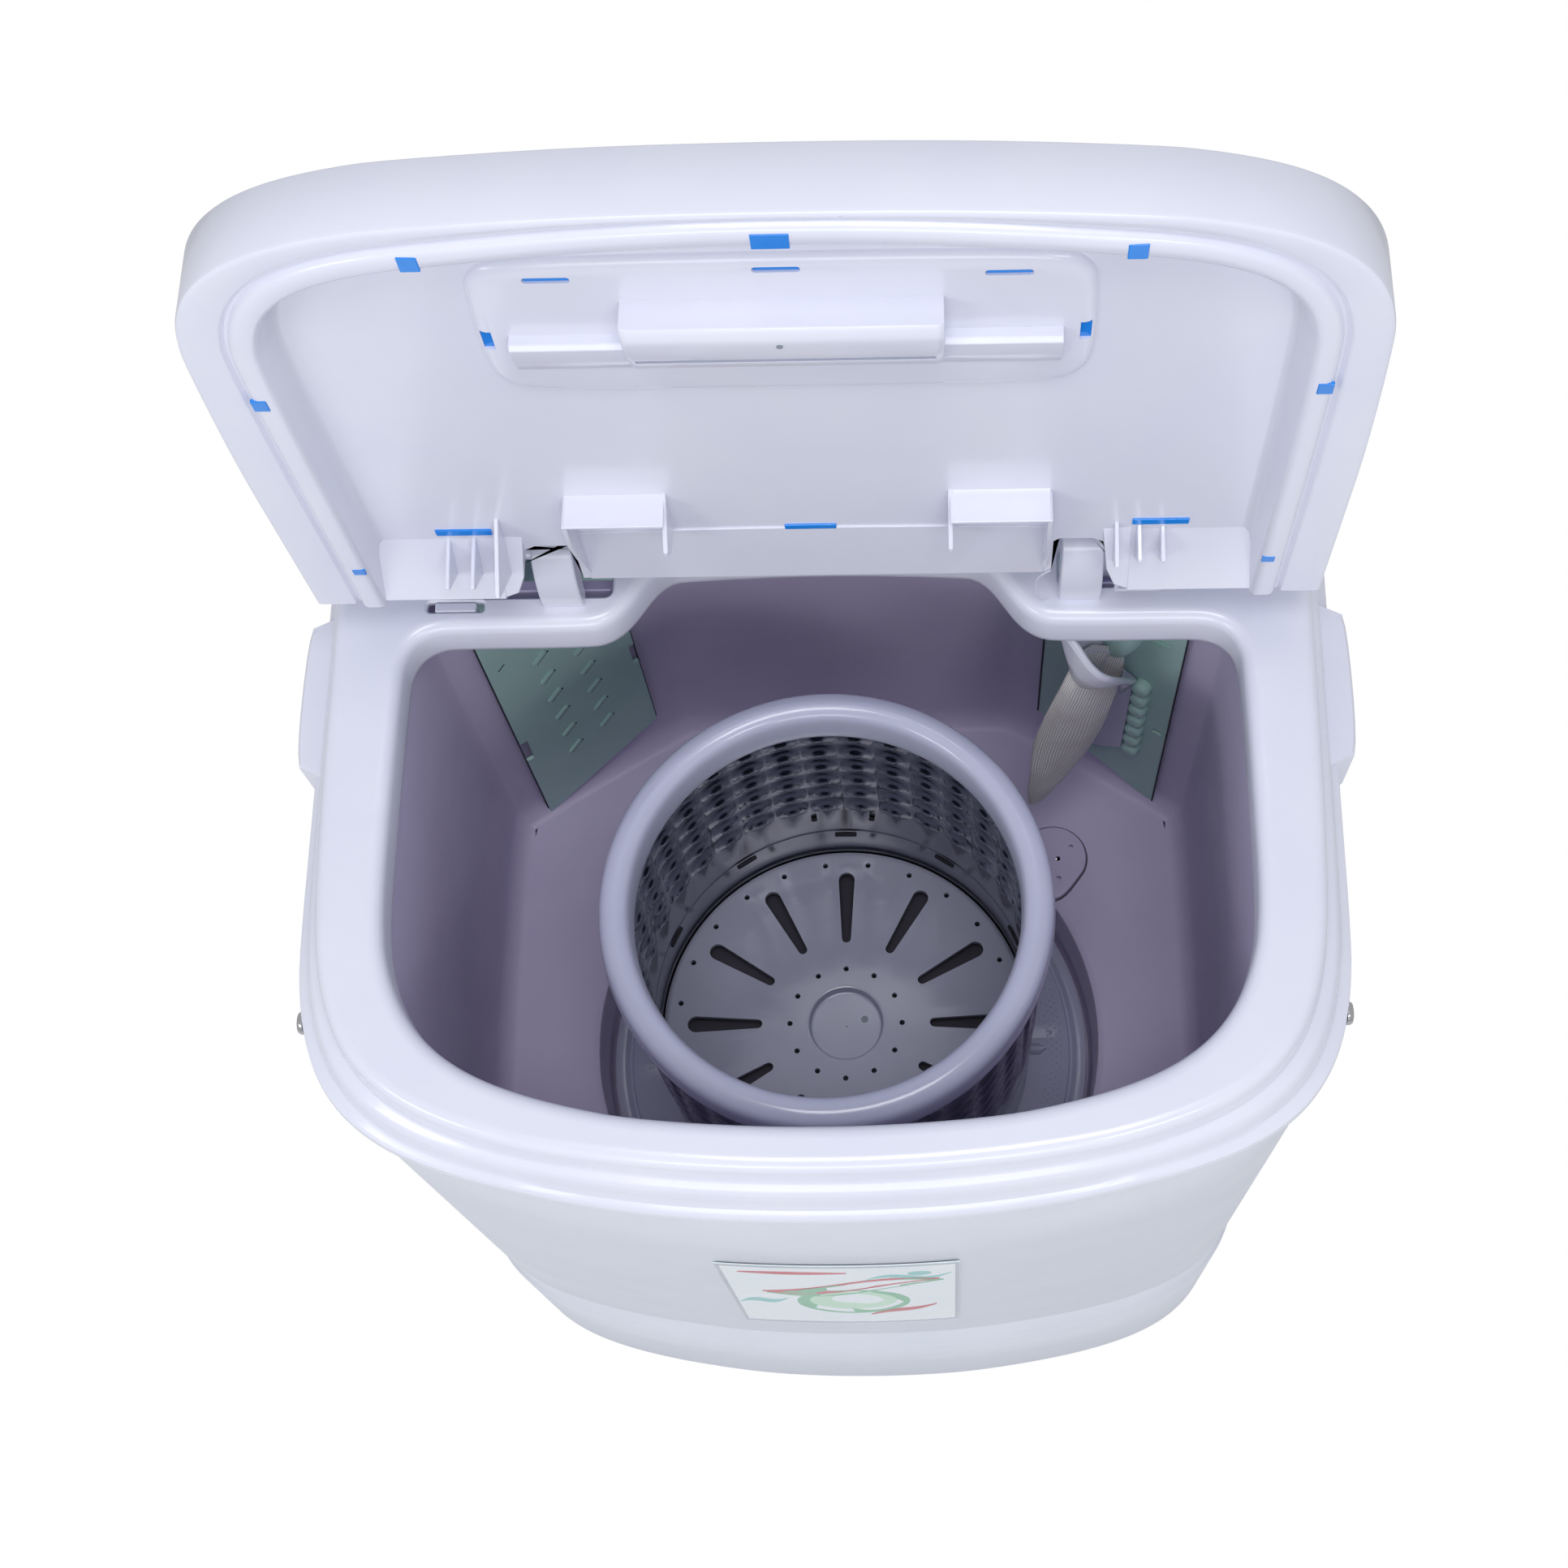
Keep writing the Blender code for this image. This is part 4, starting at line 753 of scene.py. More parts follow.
def make_side_fittings():
    for side, word in ((-1, "left"), (1, "right")):
        skin = side * (HALF_WIDTH + SKIRT + 0.0003)
        edge = side * 0.2450
        plan = [(skin, 0.050), (side * 0.2405, 0.0520), (edge, 0.0640), (edge, 0.1240),
                (side * 0.2405, 0.1360), (skin, 0.138)]
        plan = [plan[0]] + softened(plan[1:-1], 2, closed=False) + [plan[-1]]
        bm = new()
        rings(bm, [at_height(grown(plan, grow), z) for z, grow in
                   ((-0.068, 0), (-0.0335, 0), (-0.0312, -0.0005), (-0.0301, -0.0016),
                    (-0.0300, -0.0028))], caps=(True, True))
        for vert in bm.verts:
            if side * (vert.co.x - skin) < 0.0031:
                vert.co.x = side * (0.2290 if vert.co.z > -0.034 else 0.2360)
        hollow = new()
        low, high = sorted((skin - side * 0.01, edge - side * 0.0025))
        block(hollow, (low, 0.062, -0.080), (high, 0.126, -0.0325))
        dot = new()
        turned(dot, [(0.0001, -0.0306), (0.0017, -0.0306), (0.0017, -0.02),
                     (0.0001, -0.02)], 24, (side * 0.2415, 0.128))
        bm = carved(carved(bm, hollow), dot)
        piece(f"side_grip_{word}", bm, "white_plastic", stands_for=[f"handle_{word}"])
        start = side * 0.2312
        screw = pan_head((start, -0.060, -0.0425), (side, 0, 0), 0.0053)
        piece(f"casing_screw_{word}", screw, "screw_nickel",
              stands_for=[f"frame_screw_{word}"])


def make_label():
    """A generic printed label on the bowed front: a silver border, a bowl and swooshes."""
    def bow(x):
        return -RIM_FRONT - SKIRT + 0.0032 + 0.0023 * (x / 0.062) ** 2

    def film(bm, outline, lift):
        """A thin film with an outline in (x, z), wrapped on the front."""
        shape = new()
        prism(shape, outline, 0, 1, "y")
        for vert in shape.verts:
            vert.co.y = bow(vert.co.x) - (lift if vert.co.y < 0.5 else 0)
        merged(bm, shape)

    def plate(low_x, high_x, low_z, high_z, count=16):
        xs = [low_x + (high_x - low_x) * i / (count - 1) for i in range(count)]
        return [(x, high_z) for x in xs] + [(x, low_z) for x in reversed(xs)]

    bm = new()
    film(bm, plate(-0.060, 0.060, -0.370, -0.178, 24), 0.00055)
    piece("label_base", bm, "label_film", stands_for=["front_label"])
    border = new()
    for low_x, high_x, low_z, high_z in ((-0.0598, -0.0578, -0.3695, -0.1785),
                                         (0.0578, 0.0598, -0.3695, -0.1785),
                                         (-0.0580, 0.0580, -0.1835, -0.1785),
                                         (-0.0580, 0.0580, -0.3695, -0.3645)):
        film(border, plate(low_x, high_x, low_z, high_z), 0.00062)
    piece("label_border", border, "label_film", material=INK["silver"])

    def oval(x, z, half_x, half_z, lean=0.0):
        return [(x + half_x * cos(a) + lean * half_z * sin(a), z + half_z * sin(a))
                for a in (tau * i / 40 for i in range(40))]

    def wave(x0, x1, z, rise, thick, bend, count=30):
        """A swoosh: thin at both ends, thick in the middle."""
        line = []
        for i in range(count):
            t = i / (count - 1)
            middle = z + rise * t + bend * sin(tau * t)
            line.append((x0 + (x1 - x0) * t, middle, thick * sin(pi * t) + 0.0006))
        return ([(x, m + half) for x, m, half in line]
                + [(x, m - half) for x, m, half in reversed(line)])

    art = (("teal_splash", "teal", [wave(0.012, 0.056, -0.222, 0.014, 0.0050, 0.008),
                                    oval(0.040, -0.205, 0.006, 0.006),
                                    wave(-0.057, -0.030, -0.300, 0.020, 0.0060, 0.006)]),
           ("green_bowl", "green", [oval(0.004, -0.292, 0.030, 0.040)]),
           ("bowl_inside", "pale_green", [oval(0.004, -0.287, 0.023, 0.029)]),
           ("bowl_water", "label", [oval(0.006, -0.280, 0.013, 0.014)]),
           ("green_shadow", "green", [wave(-0.040, 0.052, -0.262, 0.034, 0.0170, -0.006)]),
           ("red_swoosh", "red", [wave(-0.042, 0.050, -0.258, 0.034, 0.0120, -0.006),
                                  wave(-0.050, 0.004, -0.1985, 0.0, 0.0028, 0.0),
                                  wave(0.012, 0.048, -0.338, 0.030, 0.0040, 0.003)]))
    for level, (name, ink, shapes) in enumerate(art):
        bm = new()
        for shape in shapes:
            film(bm, shape, 0.00060 + 0.00003 * level)
        piece("label_" + name, bm, "label_film",
              material=FINISH["label_film"] if ink == "label" else INK[ink])


# ---- tub, pulsator and basket -----------------------------------------------------------
def circle(radius, count=96, centre=(0, 0)):
    return [(centre[0] + radius * cos(tau * i / count),
             centre[1] + radius * sin(tau * i / count)) for i in range(count)]


def make_tub():
    bm = new()
    inner = [(-0.0105, TUB_FLOOR, TUB_FRONT)]
    for step in range(9):
        turn = radians(90 * step / 8)
        inner.append((-0.0095 * (1 - sin(turn)), TUB_FLOOR + 0.0170 * (1 - cos(turn)),
                      TUB_FRONT))
    inner += [(0, TUB_SHOULDER - 0.008, TUB_FRONT),
              (0, TUB_SHOULDER, (TUB_FRONT * 7 + TUB_MOUTH) / 8),
              (0, TUB_SHOULDER + 0.008, (TUB_FRONT * 3 + TUB_MOUTH) / 4),
              (0, -0.028, (TUB_FRONT + TUB_MOUTH * 7) / 8), (0, -0.018, TUB_MOUTH),
              (0, TUB_TOP - 0.0005, TUB_MOUTH)]
    outer = [(grow + 0.0025, z - (0.0025 if z < -0.282 else 0), front)
             for grow, z, front in reversed(inner)]
    walls = rings(bm, [at_height(tub_outline(grow, front), z)
                       for grow, z, front in inner + outer])
    dish = [(WELL_R + 0.0050, TUB_FLOOR), (WELL_R + 0.0042, TUB_FLOOR),
            (WELL_R + 0.0014, TUB_FLOOR - 0.0010), (WELL_R + 0.0002, TUB_FLOOR - 0.0035),
            (WELL_R, WELL_FLOOR + 0.0060), (WELL_R - 0.0020, WELL_FLOOR + 0.0018),
            (WELL_R - 0.0060, WELL_FLOOR), (0.0115, WELL_FLOOR),
            (0.0115, WELL_FLOOR - 0.0025), (WELL_R - 0.0050, WELL_FLOOR - 0.0025),
            (WELL_R + 0.0025, WELL_FLOOR + 0.0050), (WELL_R + 0.0025, TUB_FLOOR - 0.0025)]
    well = rings(bm, [at_height(circle(r), z) for r, z in dish])
    hole = circle(0.0100, 32, DRAIN.xy)
    bore = rings(bm, [at_height(hole, TUB_FLOOR), at_height(hole, TUB_FLOOR - 0.0025)])
    filled(bm, walls[0], well[0], bore[0])
    filled(bm, walls[-1], well[-1], bore[-1])
    piece("tub_shell", bm, "tub_plastic", stands_for=["wash_tub"],
          aim=((0, -TUB_FRONT, -0.2), (0, 1, 0)))

    cover = arc(DRAIN.xy, 0.0185, -28, 205, 28) + [(0.1120, 0.0790), (0.1220, 0.0790)]
    cover = softened(cover, 2)
    bm = new()
    rings(bm, [at_height(grown(cover, grow), z) for grow, z in
               ((0, TUB_FLOOR + 0.0003), (0, TUB_FLOOR + 0.0022),
                (-0.0005, TUB_FLOOR + 0.0028), (-0.0012, TUB_FLOOR + 0.0030))],
          caps=(True, True))
    cutter = new()
    for dx, dy in ((0.0024, -0.001), (0.0025, -0.013), (-0.0070, 0.0), (0.0100, 0.006)):
        prism(cutter, circle(0.0014, 20, (DRAIN.x + dx, DRAIN.y + dy)), -0.31, -0.29)
    piece("drain_cap", carved(bm, cutter), "tub_plastic", stands_for=["drain_cover"])
    # painted shade: a thin dark ring round the drain cap stands in for the shade in the gap
    # under its edge
    bm = new()
    rings(bm, [at_height(grown(cover, grow), z) for grow, z in
               ((0.0011, TUB_FLOOR - 0.0002), (0.0011, TUB_FLOOR + 0.00025),
                (-0.004, TUB_FLOOR + 0.00025), (-0.004, TUB_FLOOR - 0.0002),
                (0.0011, TUB_FLOOR - 0.0002))])
    piece("drain_gap_shade", bm, "tub_plastic", material=INK["gap_line_shade"])


def make_pulsator():
    top = PULSATOR_TOP
    bm = new()
    profile = [(0.0063, -0.3405), (0.0063, -0.3250), (0.0205, -0.3250), (0.0220, -0.3256),
               (0.0275, top + 0.0016), (0.0300, top + 0.0010), (0.1235, top + 0.0010),
               (0.1248, top + 0.0004), (0.1256, top - 0.0016), (0.1270, top - 0.0020),
               (0.1282, top - 0.0010), (0.1290, top - 0.0002), (0.1300, top),
               (0.1338, top), (0.1348, top - 0.0006), (PULSATOR_R, top - 0.0018),
               (PULSATOR_R, -0.3405), (0.1320, -0.3405), (0.1320, -0.3370),
               (0.0200, -0.3370), (0.0200, -0.3405)]
    turned(bm, profile, 128)
    eye = new()
    prism(eye, circle(0.0017, 16, (0.1136, 0.0095)), top - 0.0018, top + 0.01)
    bm = carved(bm, repeated(eye, FINISH["grey_plastic"], 2, turn=pi))
    piece("agitator_disc", bm, "grey_plastic", "turntable", ["pulsator"])
    rib = new()
    rings(rib, [at_height([(0.034, -h), (0.108, -h * 0.8), (0.112, 0), (0.108, h * 0.8),
                           (0.034, h)], z)
                for h, z in ((0.0042, top + 0.0008), (0.0030, top + 0.0032),
                             (0.0014, top + 0.0044))],
          caps=(True, True))
    piece("agitator_ribs", repeated(rib, FINISH["grey_plastic"], 8, turn=tau / 8),
          "grey_plastic", "turntable", crease=50)
    grain = new()
    rings(grain, [at_height([(0.1130 + r * cos(a), r * sin(a)) for a in
                             (0, pi / 2, pi, 3 * pi / 2)], z)
                  for r, z in ((0.0009, top + 0.0009), (0.0001, top + 0.0014))],
          caps=(True, True))
    grip = repeated(grain, FINISH["grey_plastic"], 60, turn=tau / 180,
                    pivot=(0, 0, 0))
    bmesh.ops.rotate(grip, verts=grip.verts, matrix=Matrix.Rotation(radians(-20), 3, "Z"))
    rows = new()
    for index in range(4):
        part = grip.copy()
        bmesh.ops.scale(part, verts=part.verts, vec=(1 + 0.022 * index,) * 2 + (1,))
        bmesh.ops.rotate(part, verts=part.verts,
                         matrix=Matrix.Rotation(radians(index % 2), 3, "Z"))
        merged(rows, part)
    grip.free()
    piece("agitator_grip", rows, "grey_plastic", "turntable")
    piece("disc_screw", pan_head((0, 0, -0.3247), (0, 0, 1), 0.0082), "screw_nickel",
          "turntable", ["pulsator_screw"])


def make_basket():
    bm = new()
    section = [(RING_BORE, -0.0650), (RING_BORE, -0.0800), (0.0928, RING_FOOT),
               (0.1040, RING_FOOT), (RING_R, -0.0815), (RING_R, -0.0655),
               (0.1046, -0.0590), (0.0995, RING_TOP), (0.0960, RING_TOP),
               (0.0918, -0.0590)]
    turned(bm, softened(section, 2), 160)
    piece("balance_ring", bm, "grey_plastic", "basket", ["basket_ring"], crease=60)

    columns, pitch = 34, 0.0190
    half_turn = pi / columns

    def wall_point(turn, height, inward):
        radius = DRUM_R - 0.0004 - inward
        return (radius * cos(turn), radius * sin(turn), height)

    def square(step, count=24):
        """A point round the edge of a unit square, from its lower right middle."""
        angle = tau * step / count + pi / 4
        x, z = cos(angle), sin(angle)
        side = step * 4 // count
        share = 2 * ((step % (count // 4)) / (count // 4)) - 1
        return ((-share, 1), (-1, -share), (share, -1), (1, share))[side], (x, z)

    def tile(middle, low_z, high_z, dimple):
        shape = new()
        rows = []
        for reach, inward in dimple:
            row = []
            for step in range(24):
                (sx, sz), (cx, cz) = square(step)
                if reach is None:
                    height = middle + (sz * (high_z - middle) if sz > 0
                                       else sz * (middle - low_z))
                    row.append(wall_point(sx * half_turn, height, inward))
                else:
                    row.append(wall_point(cx * reach / DRUM_R, middle + cz * reach, inward))
            rows.append(row)
        rings(shape, rows, caps=(False, True))
        return shape

    bulge = [(None, -0.00060), (0.0086, -0.00010), (0.0072, 0.00040), (0.0056, 0.00065),
             (0.0042, 0.00085), (0.0033, 0.00125), (0.0025, 0.00175), (0.0017, 0.00210),
             (0.0010, 0.00225), (0.0004, 0.00230)]
    first = -0.1060
    wall = repeated(tile(first, first - pitch / 2, first + pitch / 2, bulge),
                    FINISH["stainless_steel"], columns, 6, turn=tau / columns,
                    along=(0, 0, -pitch))
    plain = new()
    steps = columns * 6
    start = -half_turn
    heights = [[DRUM_TOP, -0.0850, -0.0905, first + pitch / 2],
               [first - 5.5 * pitch, -0.2380, -0.2394, -0.2400, -0.2406, -0.2420, -0.2440]]
    groove = {-0.2400: 0.0003, first + pitch / 2: -0.00060, first - 5.5 * pitch: -0.00060}
    for band in heights:
        part = new()
        rings(part, [[wall_point(start + tau * i / steps, z, groove.get(z, 0))
                      for i in range(steps)] for z in band])
        merged(plain, part)
    part = new()
    rings(part, [[wall_point(start + tau * i / steps, z, 0) for i in range(steps)]
                 for z in (-0.2440, -0.2600, -0.2900, -0.3100, DRUM_BOTTOM + 0.0008,
                           DRUM_BOTTOM)])
    merged(plain, part)
    merged(wall, plain)
    bmesh.ops.remove_doubles(wall, verts=wall.verts, dist=2e-5)
    bmesh.ops.rotate(wall, verts=wall.verts, matrix=Matrix.Rotation(radians(94.4), 3, "Z"))
    piece("drum_wall", wall, "stainless_steel", "basket", ["basket_drum"], crease=70,
          skin=0.0006, aim=((0, -DRUM_R, -0.30), (0, 1, 0)))
    # painted shade: thin dark films on the wall stand in for the shade inside the drum's
    # slots
    slot = new()
    prism(slot, rounded(0.0060, -0.0021, 0.0021, 0.0012), 0.0, 0.0004)
    for vert in slot.verts:
        vert.co = Vector(wall_point(vert.co.x / DRUM_R, -0.2470 + vert.co.y,
                                    vert.co.z * 1.5))
    slots = repeated(slot, INK["gap"], 11, turn=tau / 11)
    bmesh.ops.rotate(slots, verts=slots.verts,
                     matrix=Matrix.Rotation(radians(89.7), 3, "Z"))
    piece("drum_slot_shade", slots, "stainless_steel", "basket", material=INK["gap"])
    # painted shade: two small dark discs stand in for the shade inside two small holes in the
    # sheet
    marks = new()
    for angle in (98.8, 81.0):
        dot = new()
        prism(dot, circle(0.0016, 16), 0, 0.00095)
        bmesh.ops.rotate(dot, verts=dot.verts, matrix=Matrix.Rotation(-pi / 2, 3, "Y"))
        bmesh.ops.translate(dot, verts=dot.verts, vec=(DRUM_R - 0.0003, 0, -0.2195))
        bmesh.ops.rotate(dot, verts=dot.verts, matrix=Matrix.Rotation(radians(angle), 3, "Z"))
        merged(marks, dot)
    piece("punched_hole_shade", marks, "stainless_steel", "basket", material=INK["gap"])

    bm = new()
    turned(bm, [(0.0004, PLATE_Z - 0.0100), (0.0004, PLATE_Z - 0.0072),
                (0.0184, PLATE_Z - 0.0072), (0.0189, PLATE_Z - 0.0072),
                (0.0197, PLATE_Z - 0.0068), (HUB_R, PLATE_Z - 0.0060),
                (HUB_R, PLATE_Z - 0.0004), (HUB_R + 0.0004, PLATE_Z + 0.0002),
                (HUB_R + 0.0011, PLATE_Z + 0.0004), (HUB_R + 0.0016, PLATE_Z + 0.0004),
                (0.0968, PLATE_Z + 0.0004), (0.0978, PLATE_Z + 0.0003),
                (0.0990, PLATE_Z - 0.0003), (0.0994, PLATE_Z - 0.0014),
                (0.0994, PLATE_Z - 0.0040), (0.0970, PLATE_Z - 0.0040),
                (0.0965, PLATE_Z - 0.0030), (0.0285, PLATE_Z - 0.0030),
                (0.0285, -0.3247), (0.0270, -0.3247), (0.0270, PLATE_Z - 0.0100)], 144)
    slot = new()
    outline = arc((0.0485, 0), 0.0025, 90, 270, 9) + arc((0.0826, 0), 0.0045, -90, 90, 9)
    prism(slot, outline, PLATE_Z - 0.0060, PLATE_Z + 0.010)
    cuts = repeated(slot, FINISH["grey_plastic"], 12, turn=tau / 12)
    for radius, count, lead in ((0.0919, 24, 7.5), (0.0308, 12, 0.0)):
        hole = new()
        lead = radians(lead)
        prism(hole, circle(0.0015, 14, (radius * cos(lead), radius * sin(lead))),
              PLATE_Z - 0.0060, PLATE_Z + 0.010)
        merged(cuts, repeated(hole, FINISH["grey_plastic"], count, turn=tau / count))
    bm = carved(bm, cuts)
    piece("basket_floor", bm, "grey_plastic", "basket", ["basket_base"])
    bm = new()
    turned(bm, [(0.0975, PLATE_Z - 0.0040), (0.1004, PLATE_Z - 0.0040),
                (0.1004, DRUM_BOTTOM + 0.0040), (0.0975, DRUM_BOTTOM + 0.0040)], 144)
    piece("floor_skirt", bm, "grey_plastic", "basket")
    ribs = new()
    prism(ribs, [(0.028, -0.0009), (0.0965, -0.0009), (0.0965, 0.0009), (0.028, 0.0009)],
          PLATE_Z - 0.0120, PLATE_Z - 0.0029)
    bmesh.ops.rotate(ribs, verts=ribs.verts, matrix=Matrix.Rotation(tau / 24, 3, "Z"))
    piece("floor_ribs", repeated(ribs, FINISH["grey_plastic"], 12, turn=tau / 12),
          "grey_plastic", "basket")
    # painted shade: a dark disc under the floor plate stands in for the shade seen through
    # its slots and holes
    shade_disc = new()
    turned(shade_disc, [(0.0285, PLATE_Z - 0.0135), (0.0285, PLATE_Z - 0.0120),
                 (0.0973, PLATE_Z - 0.0120), (0.0973, PLATE_Z - 0.0135)], 96)
    piece("floor_shade_disc", shade_disc, "grey_plastic", "basket", material=INK["shade"])
    mark = new()
    prism(mark, circle(0.0020, 16, (0.010, 0.004)), PLATE_Z - 0.0073, PLATE_Z - 0.00700)
    piece("hub_mark", mark, "grey_plastic", "basket", material=INK["grey"])


# ---- lid --------------------------------------------------------------------------------
def rail_side():
    """Open outline (x, z) of the raised rail inside the lid's flange."""
    half = [(0.2000, LID_BOTTOM), (0.2000, 0.100), (0.2000, 0.160), (0.1990, 0.235)]
    half += curve((0.1990, 0.235), (0.1945, 0.280), (0.1700, 0.2965), (0.1245, 0.3035), 9)
    half += [(0.0600, 0.3115), (0.0, 0.3140)]
    return softened(half + [(-x, z) for x, z in reversed(half[:-1])], 2, closed=False)


def make_lid():
    """The raised lid: a U-shaped flange and rail, a flat floor and a wedge at its foot."""
    outer, rail = lid_side(), rail_side()
    stations = [(outer, -0.0030, LID_BACK), (outer, -0.0030, 0.1362),
                (outer, -0.0026, 0.1368), (outer, -0.0008, 0.1368), (outer, 0.0, 0.1356),
                (outer, 0.0, 0.1100), (outer, -0.0004, 0.1088),
                (outer, -0.0012, 0.1082), (outer, -0.0024, LID_FACE),
                (rail, 0.0042, LID_FACE), (rail, 0.0032, 0.1084), (rail, 0.0026, 0.1094),
                (rail, 0.0018, 0.1100), (rail, 0.0006, 0.1096), (rail, 0.0001, 0.1086),
                (rail, -0.0004, 0.1074), (rail, -0.0014, 0.1066), (rail, -0.0028, 0.1062),
                (rail, -0.0080, 0.1062), (rail, -0.0094, 0.1068), (rail, -0.0104, 0.1082),
                (rail, -0.0126, 0.1180), (rail, -0.0138, 0.1200), (rail, -0.0156, 0.1209),
                (rail, -0.0170, LID_FLOOR)]
    bm = new()
    rows = rings(bm, [[(x, y, z) for x, z in grown(outline, grow, closed=False)]
                      for outline, grow, y in stations], closed=False)
    foot = [(0.1500, 0.0390), (0.1365, 0.0390), (0.1300, 0.0430), (0.1265, 0.0520),
            (0.1250, 0.0620), (0.1200, 0.0655), (0.1060, 0.0655), (0.1035, 0.0630),
            (0.1035, 0.0345)]
    foot += [(-x, z) for x, z in reversed(foot)]
    front = [bm.verts.new((-x, LID_FLOOR, z)) for x, z in foot]
    rear = [bm.verts.new((-x, LID_BACK, z)) for x, z in foot]
    ends = [bm.verts.new((row.co.x, LID_BACK, row.co.z))
            for row in (rows[-1][-1], rows[-1][0])]
    bm.faces.new(rows[-1] + front)
    bm.faces.new(rows[0] + [ends[0]] + rear + [ends[1]])
    low_front = [rows[-1][-1]] + front + [rows[-1][0]]
    low_rear = [ends[0]] + rear + [ends[1]]
    for i in range(len(low_front) - 1):
        bm.faces.new((low_front[i], low_front[i + 1], low_rear[i + 1], low_rear[i]))
    bm.faces.new([row[-1] for row in rows] + [ends[0]])
    bm.faces.new([row[0] for row in rows] + [ends[1]])
    bmesh.ops.triangulate(bm, faces=[f for f in bm.faces if len(f.verts) > 4])
    handle_way = new()
    prism(handle_way, rounded(0.0535, 0.2165, 0.2535, 0.005), LID_FLOOR - 0.004,
          LID_BACK + 0.01, "y")
    bm = carved(bm, handle_way)
    piece("lid_tray", bm, "white_plastic", "lid", ["lid_panel"],
          aim=((0.05, LID_FLOOR, 0.10), (0, -1, 0)))

    bm = new()
    for side in (-1, 1):
        section = [(0.1212, 0.0760), (0.1212, 0.0740), (0.1092, 0.0412), (0.1084, 0.0394),
                   (0.1100, 0.0386), (0.1230, 0.0386), (0.1230, 0.0760)]
        prism(bm, section, *sorted((side * 0.1360, side * 0.1990)), "x")
        corner = [(0.1365, 0.0390), (0.1300, 0.0430), (0.1265, 0.0520), (0.1240, 0.0740),
                  (0.1365, 0.0760)]
        shape = new()
        prism(shape, [(side * x, z) for x, z in corner], 0, 1, "y")
        for vert in shape.verts:
            if vert.co.y < 0.5:
                vert.co.y = 0.1212 - 0.0120 * smooth_step(0.0760 - vert.co.z, 0, 0.036)
            else:
                vert.co.y = 0.1230
        merged(bm, shape)
    piece("lid_foot_slopes", bm, "white_plastic", "lid", bevel=0.0008)

    bm = new()
    fins = [(-0.1560, 0.0734, 0.0680, 0.0996), (-0.1448, 0.0746, 0.0697, 0.0986),
            (-0.1323, 0.0907, 0.0764, 0.0910), (0.1296, 0.0800, 0.0710, 0.1040),
            (0.1393, 0.0780, 0.0720, 0.1060), (0.1494, 0.0760, 0.0700, 0.1070)]
    for x, back_z, front_z, front_y in fins:
        fin = [(0.1212, back_z), (front_y + 0.0008, front_z + 0.0004),
               (front_y, front_z - 0.0008), (front_y + 0.0014, front_z - 0.0030),
               (0.1212, 0.0470)]
        prism(bm, fin, x - 0.0009, x + 0.0009, "x")
    for side in (-1, 1):
        top = [(0.1070, 0.1078), (0.1070, 0.1062), (0.1215, 0.1058), (0.1215, 0.1100),
               (0.1180, 0.1088)]
        prism(bm, top, *sorted((side * 0.0590, side * 0.1005)), "x")
        cheek = [(0.1070, 0.1075), (0.1070, 0.0906), (0.1215, 0.0350), (0.1232, 0.0350),
                 (0.1232, 0.1082)]
        prism(bm, cheek, *sorted((side * 0.0990, side * 0.1012)), "x")
        gusset = [(0.1215, 0.1110), (0.1215, 0.0800), (0.1085, 0.0825), (0.1070, 0.0840),
                  (0.1010, 0.0935), (0.1012, 0.0955)]
        prism(bm, gusset, *sorted((side * 0.0582, side * 0.0602)), "x")
        knuckle = arc((PIVOT_Y, PIVOT_Z), 0.0068, 110, -120, 18)
        knuckle += [(0.1215, 0.0335), (0.1215, 0.0500), (0.1235, 0.0560)]
        prism(bm, knuckle, *sorted((side * 0.1012, side * 0.1035)), "x")
    piece("lid_hoods_and_fins", bm, "white_plastic", "lid", bevel=0.0005)

    bm = new()
    block(bm, (0.1326, 0.1200, 0.0150), (0.1535, 0.1306, 0.0620))
    cutter = new()
    block(cutter, (0.1342, 0.110, 0.0165), (0.1420, 0.1285, 0.0245))
    pockets = repeated(cutter, FINISH["white_plastic"], 2, 2, across=(0.0092, 0, 0),
                       along=(0, 0, 0.0100))
    bm = carved(bm, pockets)
    wing = new()
    prism(wing, [(0.1535, 0.0620), (0.1535, 0.0320), (0.1570, 0.0400), (0.1510, 0.0580)],
          0.1200, 0.1225, "y")
    merged(bm, wing)
    piece("lid_stop", bm, "white_plastic", "lid", bevel=0.0006)

    bm = new()
    xs = [-0.1000 + 0.2000 * i / 24 for i in range(25)]
    seam = [(x, 0.0802 - 0.0022 * (x / 0.1) ** 2) for x in xs]
    prism(bm, seam + [(0.1000, 0.0350), (-0.1000, 0.0350)], LID_FLOOR - 0.0008,
          LID_FLOOR + 0.0005, "y")
    piece("lid_apron", bm, "white_plastic", "lid", bevel=0.0004)

    bm = new()
    tabs = [(-0.1250, -0.1180, 0.2935, 0.3015, 0.1062), (0.1180, 0.1250, 0.2935, 0.3015,
                                                         0.1062),
            (-0.0065, 0.0065, 0.3030, 0.3110, 0.1062), (-0.1996, -0.1935, 0.2055, 0.2125,
                                                        0.1062),
            (0.1935, 0.1996, 0.2055, 0.2125, 0.1062),
            (-0.1960, -0.1905, 0.0700, 0.0745, 0.1062),
            (0.1905, 0.1960, 0.0700, 0.0745, 0.1062)]
    for x0, x1, z0, z1, y in tabs:
        block(bm, (x0, y - 0.0004, z0), (x1, y + 0.0012, z1))
    clips = [(-0.1600, -0.1360, 0.0775, 0.0820), (0.1360, 0.1600, 0.0785, 0.0828),
             (-0.0110, 0.0110, 0.0790, 0.0825)]
    for x0, x1, z0, z1 in clips:
        block(bm, (x0, LID_FLOOR - 0.0009, z0), (x1, LID_FLOOR + 0.0010, z1))
    piece("lid_clips", bm, "blue_cover", "lid", bevel=0.0004)

